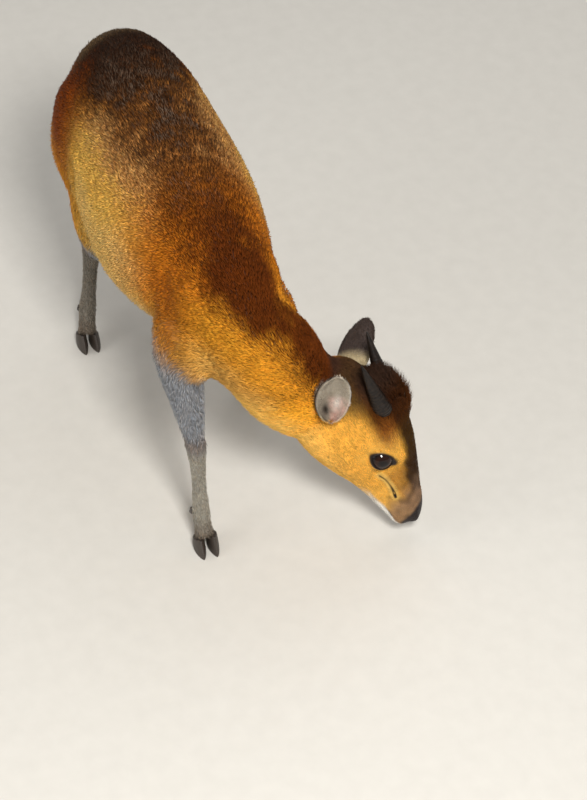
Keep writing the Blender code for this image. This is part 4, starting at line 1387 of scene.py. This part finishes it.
def rounded_copy(node):
    """A smooth copy of a hoof's or dewclaw's solid, which it replaces."""
    claw = add_object(node + "_horn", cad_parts[node].data.copy())
    select_only(claw)
    bpy.ops.object.mode_set(mode="EDIT")
    face_outward(MERGE)
    bpy.ops.mesh.tris_convert_to_quads()
    bpy.ops.mesh.dissolve_limited(angle_limit=math.radians(1))
    bpy.ops.mesh.select_all(action="DESELECT")
    bpy.ops.mesh.select_mode(type="EDGE")
    bpy.ops.mesh.edges_select_sharp(sharpness=math.radians(50))
    bpy.ops.transform.edge_crease(value=CREASE)
    bpy.ops.object.mode_set(mode="OBJECT")
    levels = 3 if node.startswith("hoof") else 2
    apply_modifier(claw, "SUBSURF", levels=levels, render_levels=levels)
    claw.data.shade_smooth()
    claw.data.materials.clear()
    claw.data.materials.append(hoof_horn)
    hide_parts(node)
    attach(claw, "root")
    return claw


claws = [rounded_copy(name) for name in sorted(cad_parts) if name.startswith(("hoof", "dewclaw"))]
lowest = min(points_of(claw.data)[:, 2].min() for claw in claws)
print(len(claws), "hooves and dewclaws, lowest point in mm:", in_mm([lowest]))

# %% [markdown]
# The photograph was taken from above the animal's right side with a long lens and a flash close to the
# camera. So the key light is a small soft one just to the right of the camera, and two large weak ones
# fill the shadows. The floor is a matt painted board, pale and almost even, so that it shows the shadow
# and draws no look to itself.

# %% Floor, lights and camera
floor_paint, tree, shader = new_material("pale_matt_floor", 0.9, 0.2)
specks = noise(tree, own_place(tree), 60).outputs["Fac"]
surface(tree, shader, ramp(tree, specks, (0.0, "#C9C6C0"), (1.0, "#D2CFC9")))
bpy.ops.object.select_all(action="DESELECT")
bpy.ops.mesh.primitive_plane_add(size=8)
floor = bpy.context.object
floor.name = "floor"
floor.data.materials.append(floor_paint)

CAMERA_AZIMUTH = math.radians(68)
CAMERA_ELEVATION = math.radians(42)
CAMERA_PLACE = Vector((1.7382, -0.5997, 1.7009))
camera = add_object("camera", bpy.data.cameras.new("camera"))
camera.location = CAMERA_PLACE + MOVED
camera.rotation_euler = (math.pi / 2 - CAMERA_ELEVATION, 0, CAMERA_AZIMUTH)
camera.data.lens = 124.2
camera.data.clip_end = 20
bpy.context.scene.camera = camera

LIT_MIDDLE = Vector((0, 0, 0.18))
LIGHTS = {  # place, size, power and tint
    "key": ((1.45, -0.25, 1.65), 0.40, 44, (1.0, 0.98, 0.94)),
    "fill": ((0.2, -1.9, 0.9), 1.4, 12, (1.0, 0.99, 0.97)),
    "top": ((-0.8, 0.9, 1.8), 1.6, 8, (1.0, 1.0, 1.0)),
}
for name, (place, size, power, tint) in LIGHTS.items():
    lamp = bpy.data.lights.new(name, "AREA")
    lamp.size = size
    lamp.energy = power
    lamp.color = tint
    made = add_object(name, lamp)
    made.location = place
    made.rotation_euler = (LIT_MIDDLE - Vector(place)).to_track_quat("-Z", "Y").to_euler()
world = bpy.data.worlds.new("studio")
world.use_nodes = True
surroundings = world.node_tree.nodes["Background"].inputs
surroundings["Color"].default_value = (*linear("#F2F0EC"), 1)
surroundings["Strength"].default_value = 0.42
bpy.context.scene.world = world
bpy.context.scene.view_settings.view_transform = "Standard"
print("floor, camera and", len(LIGHTS), "lights are set")
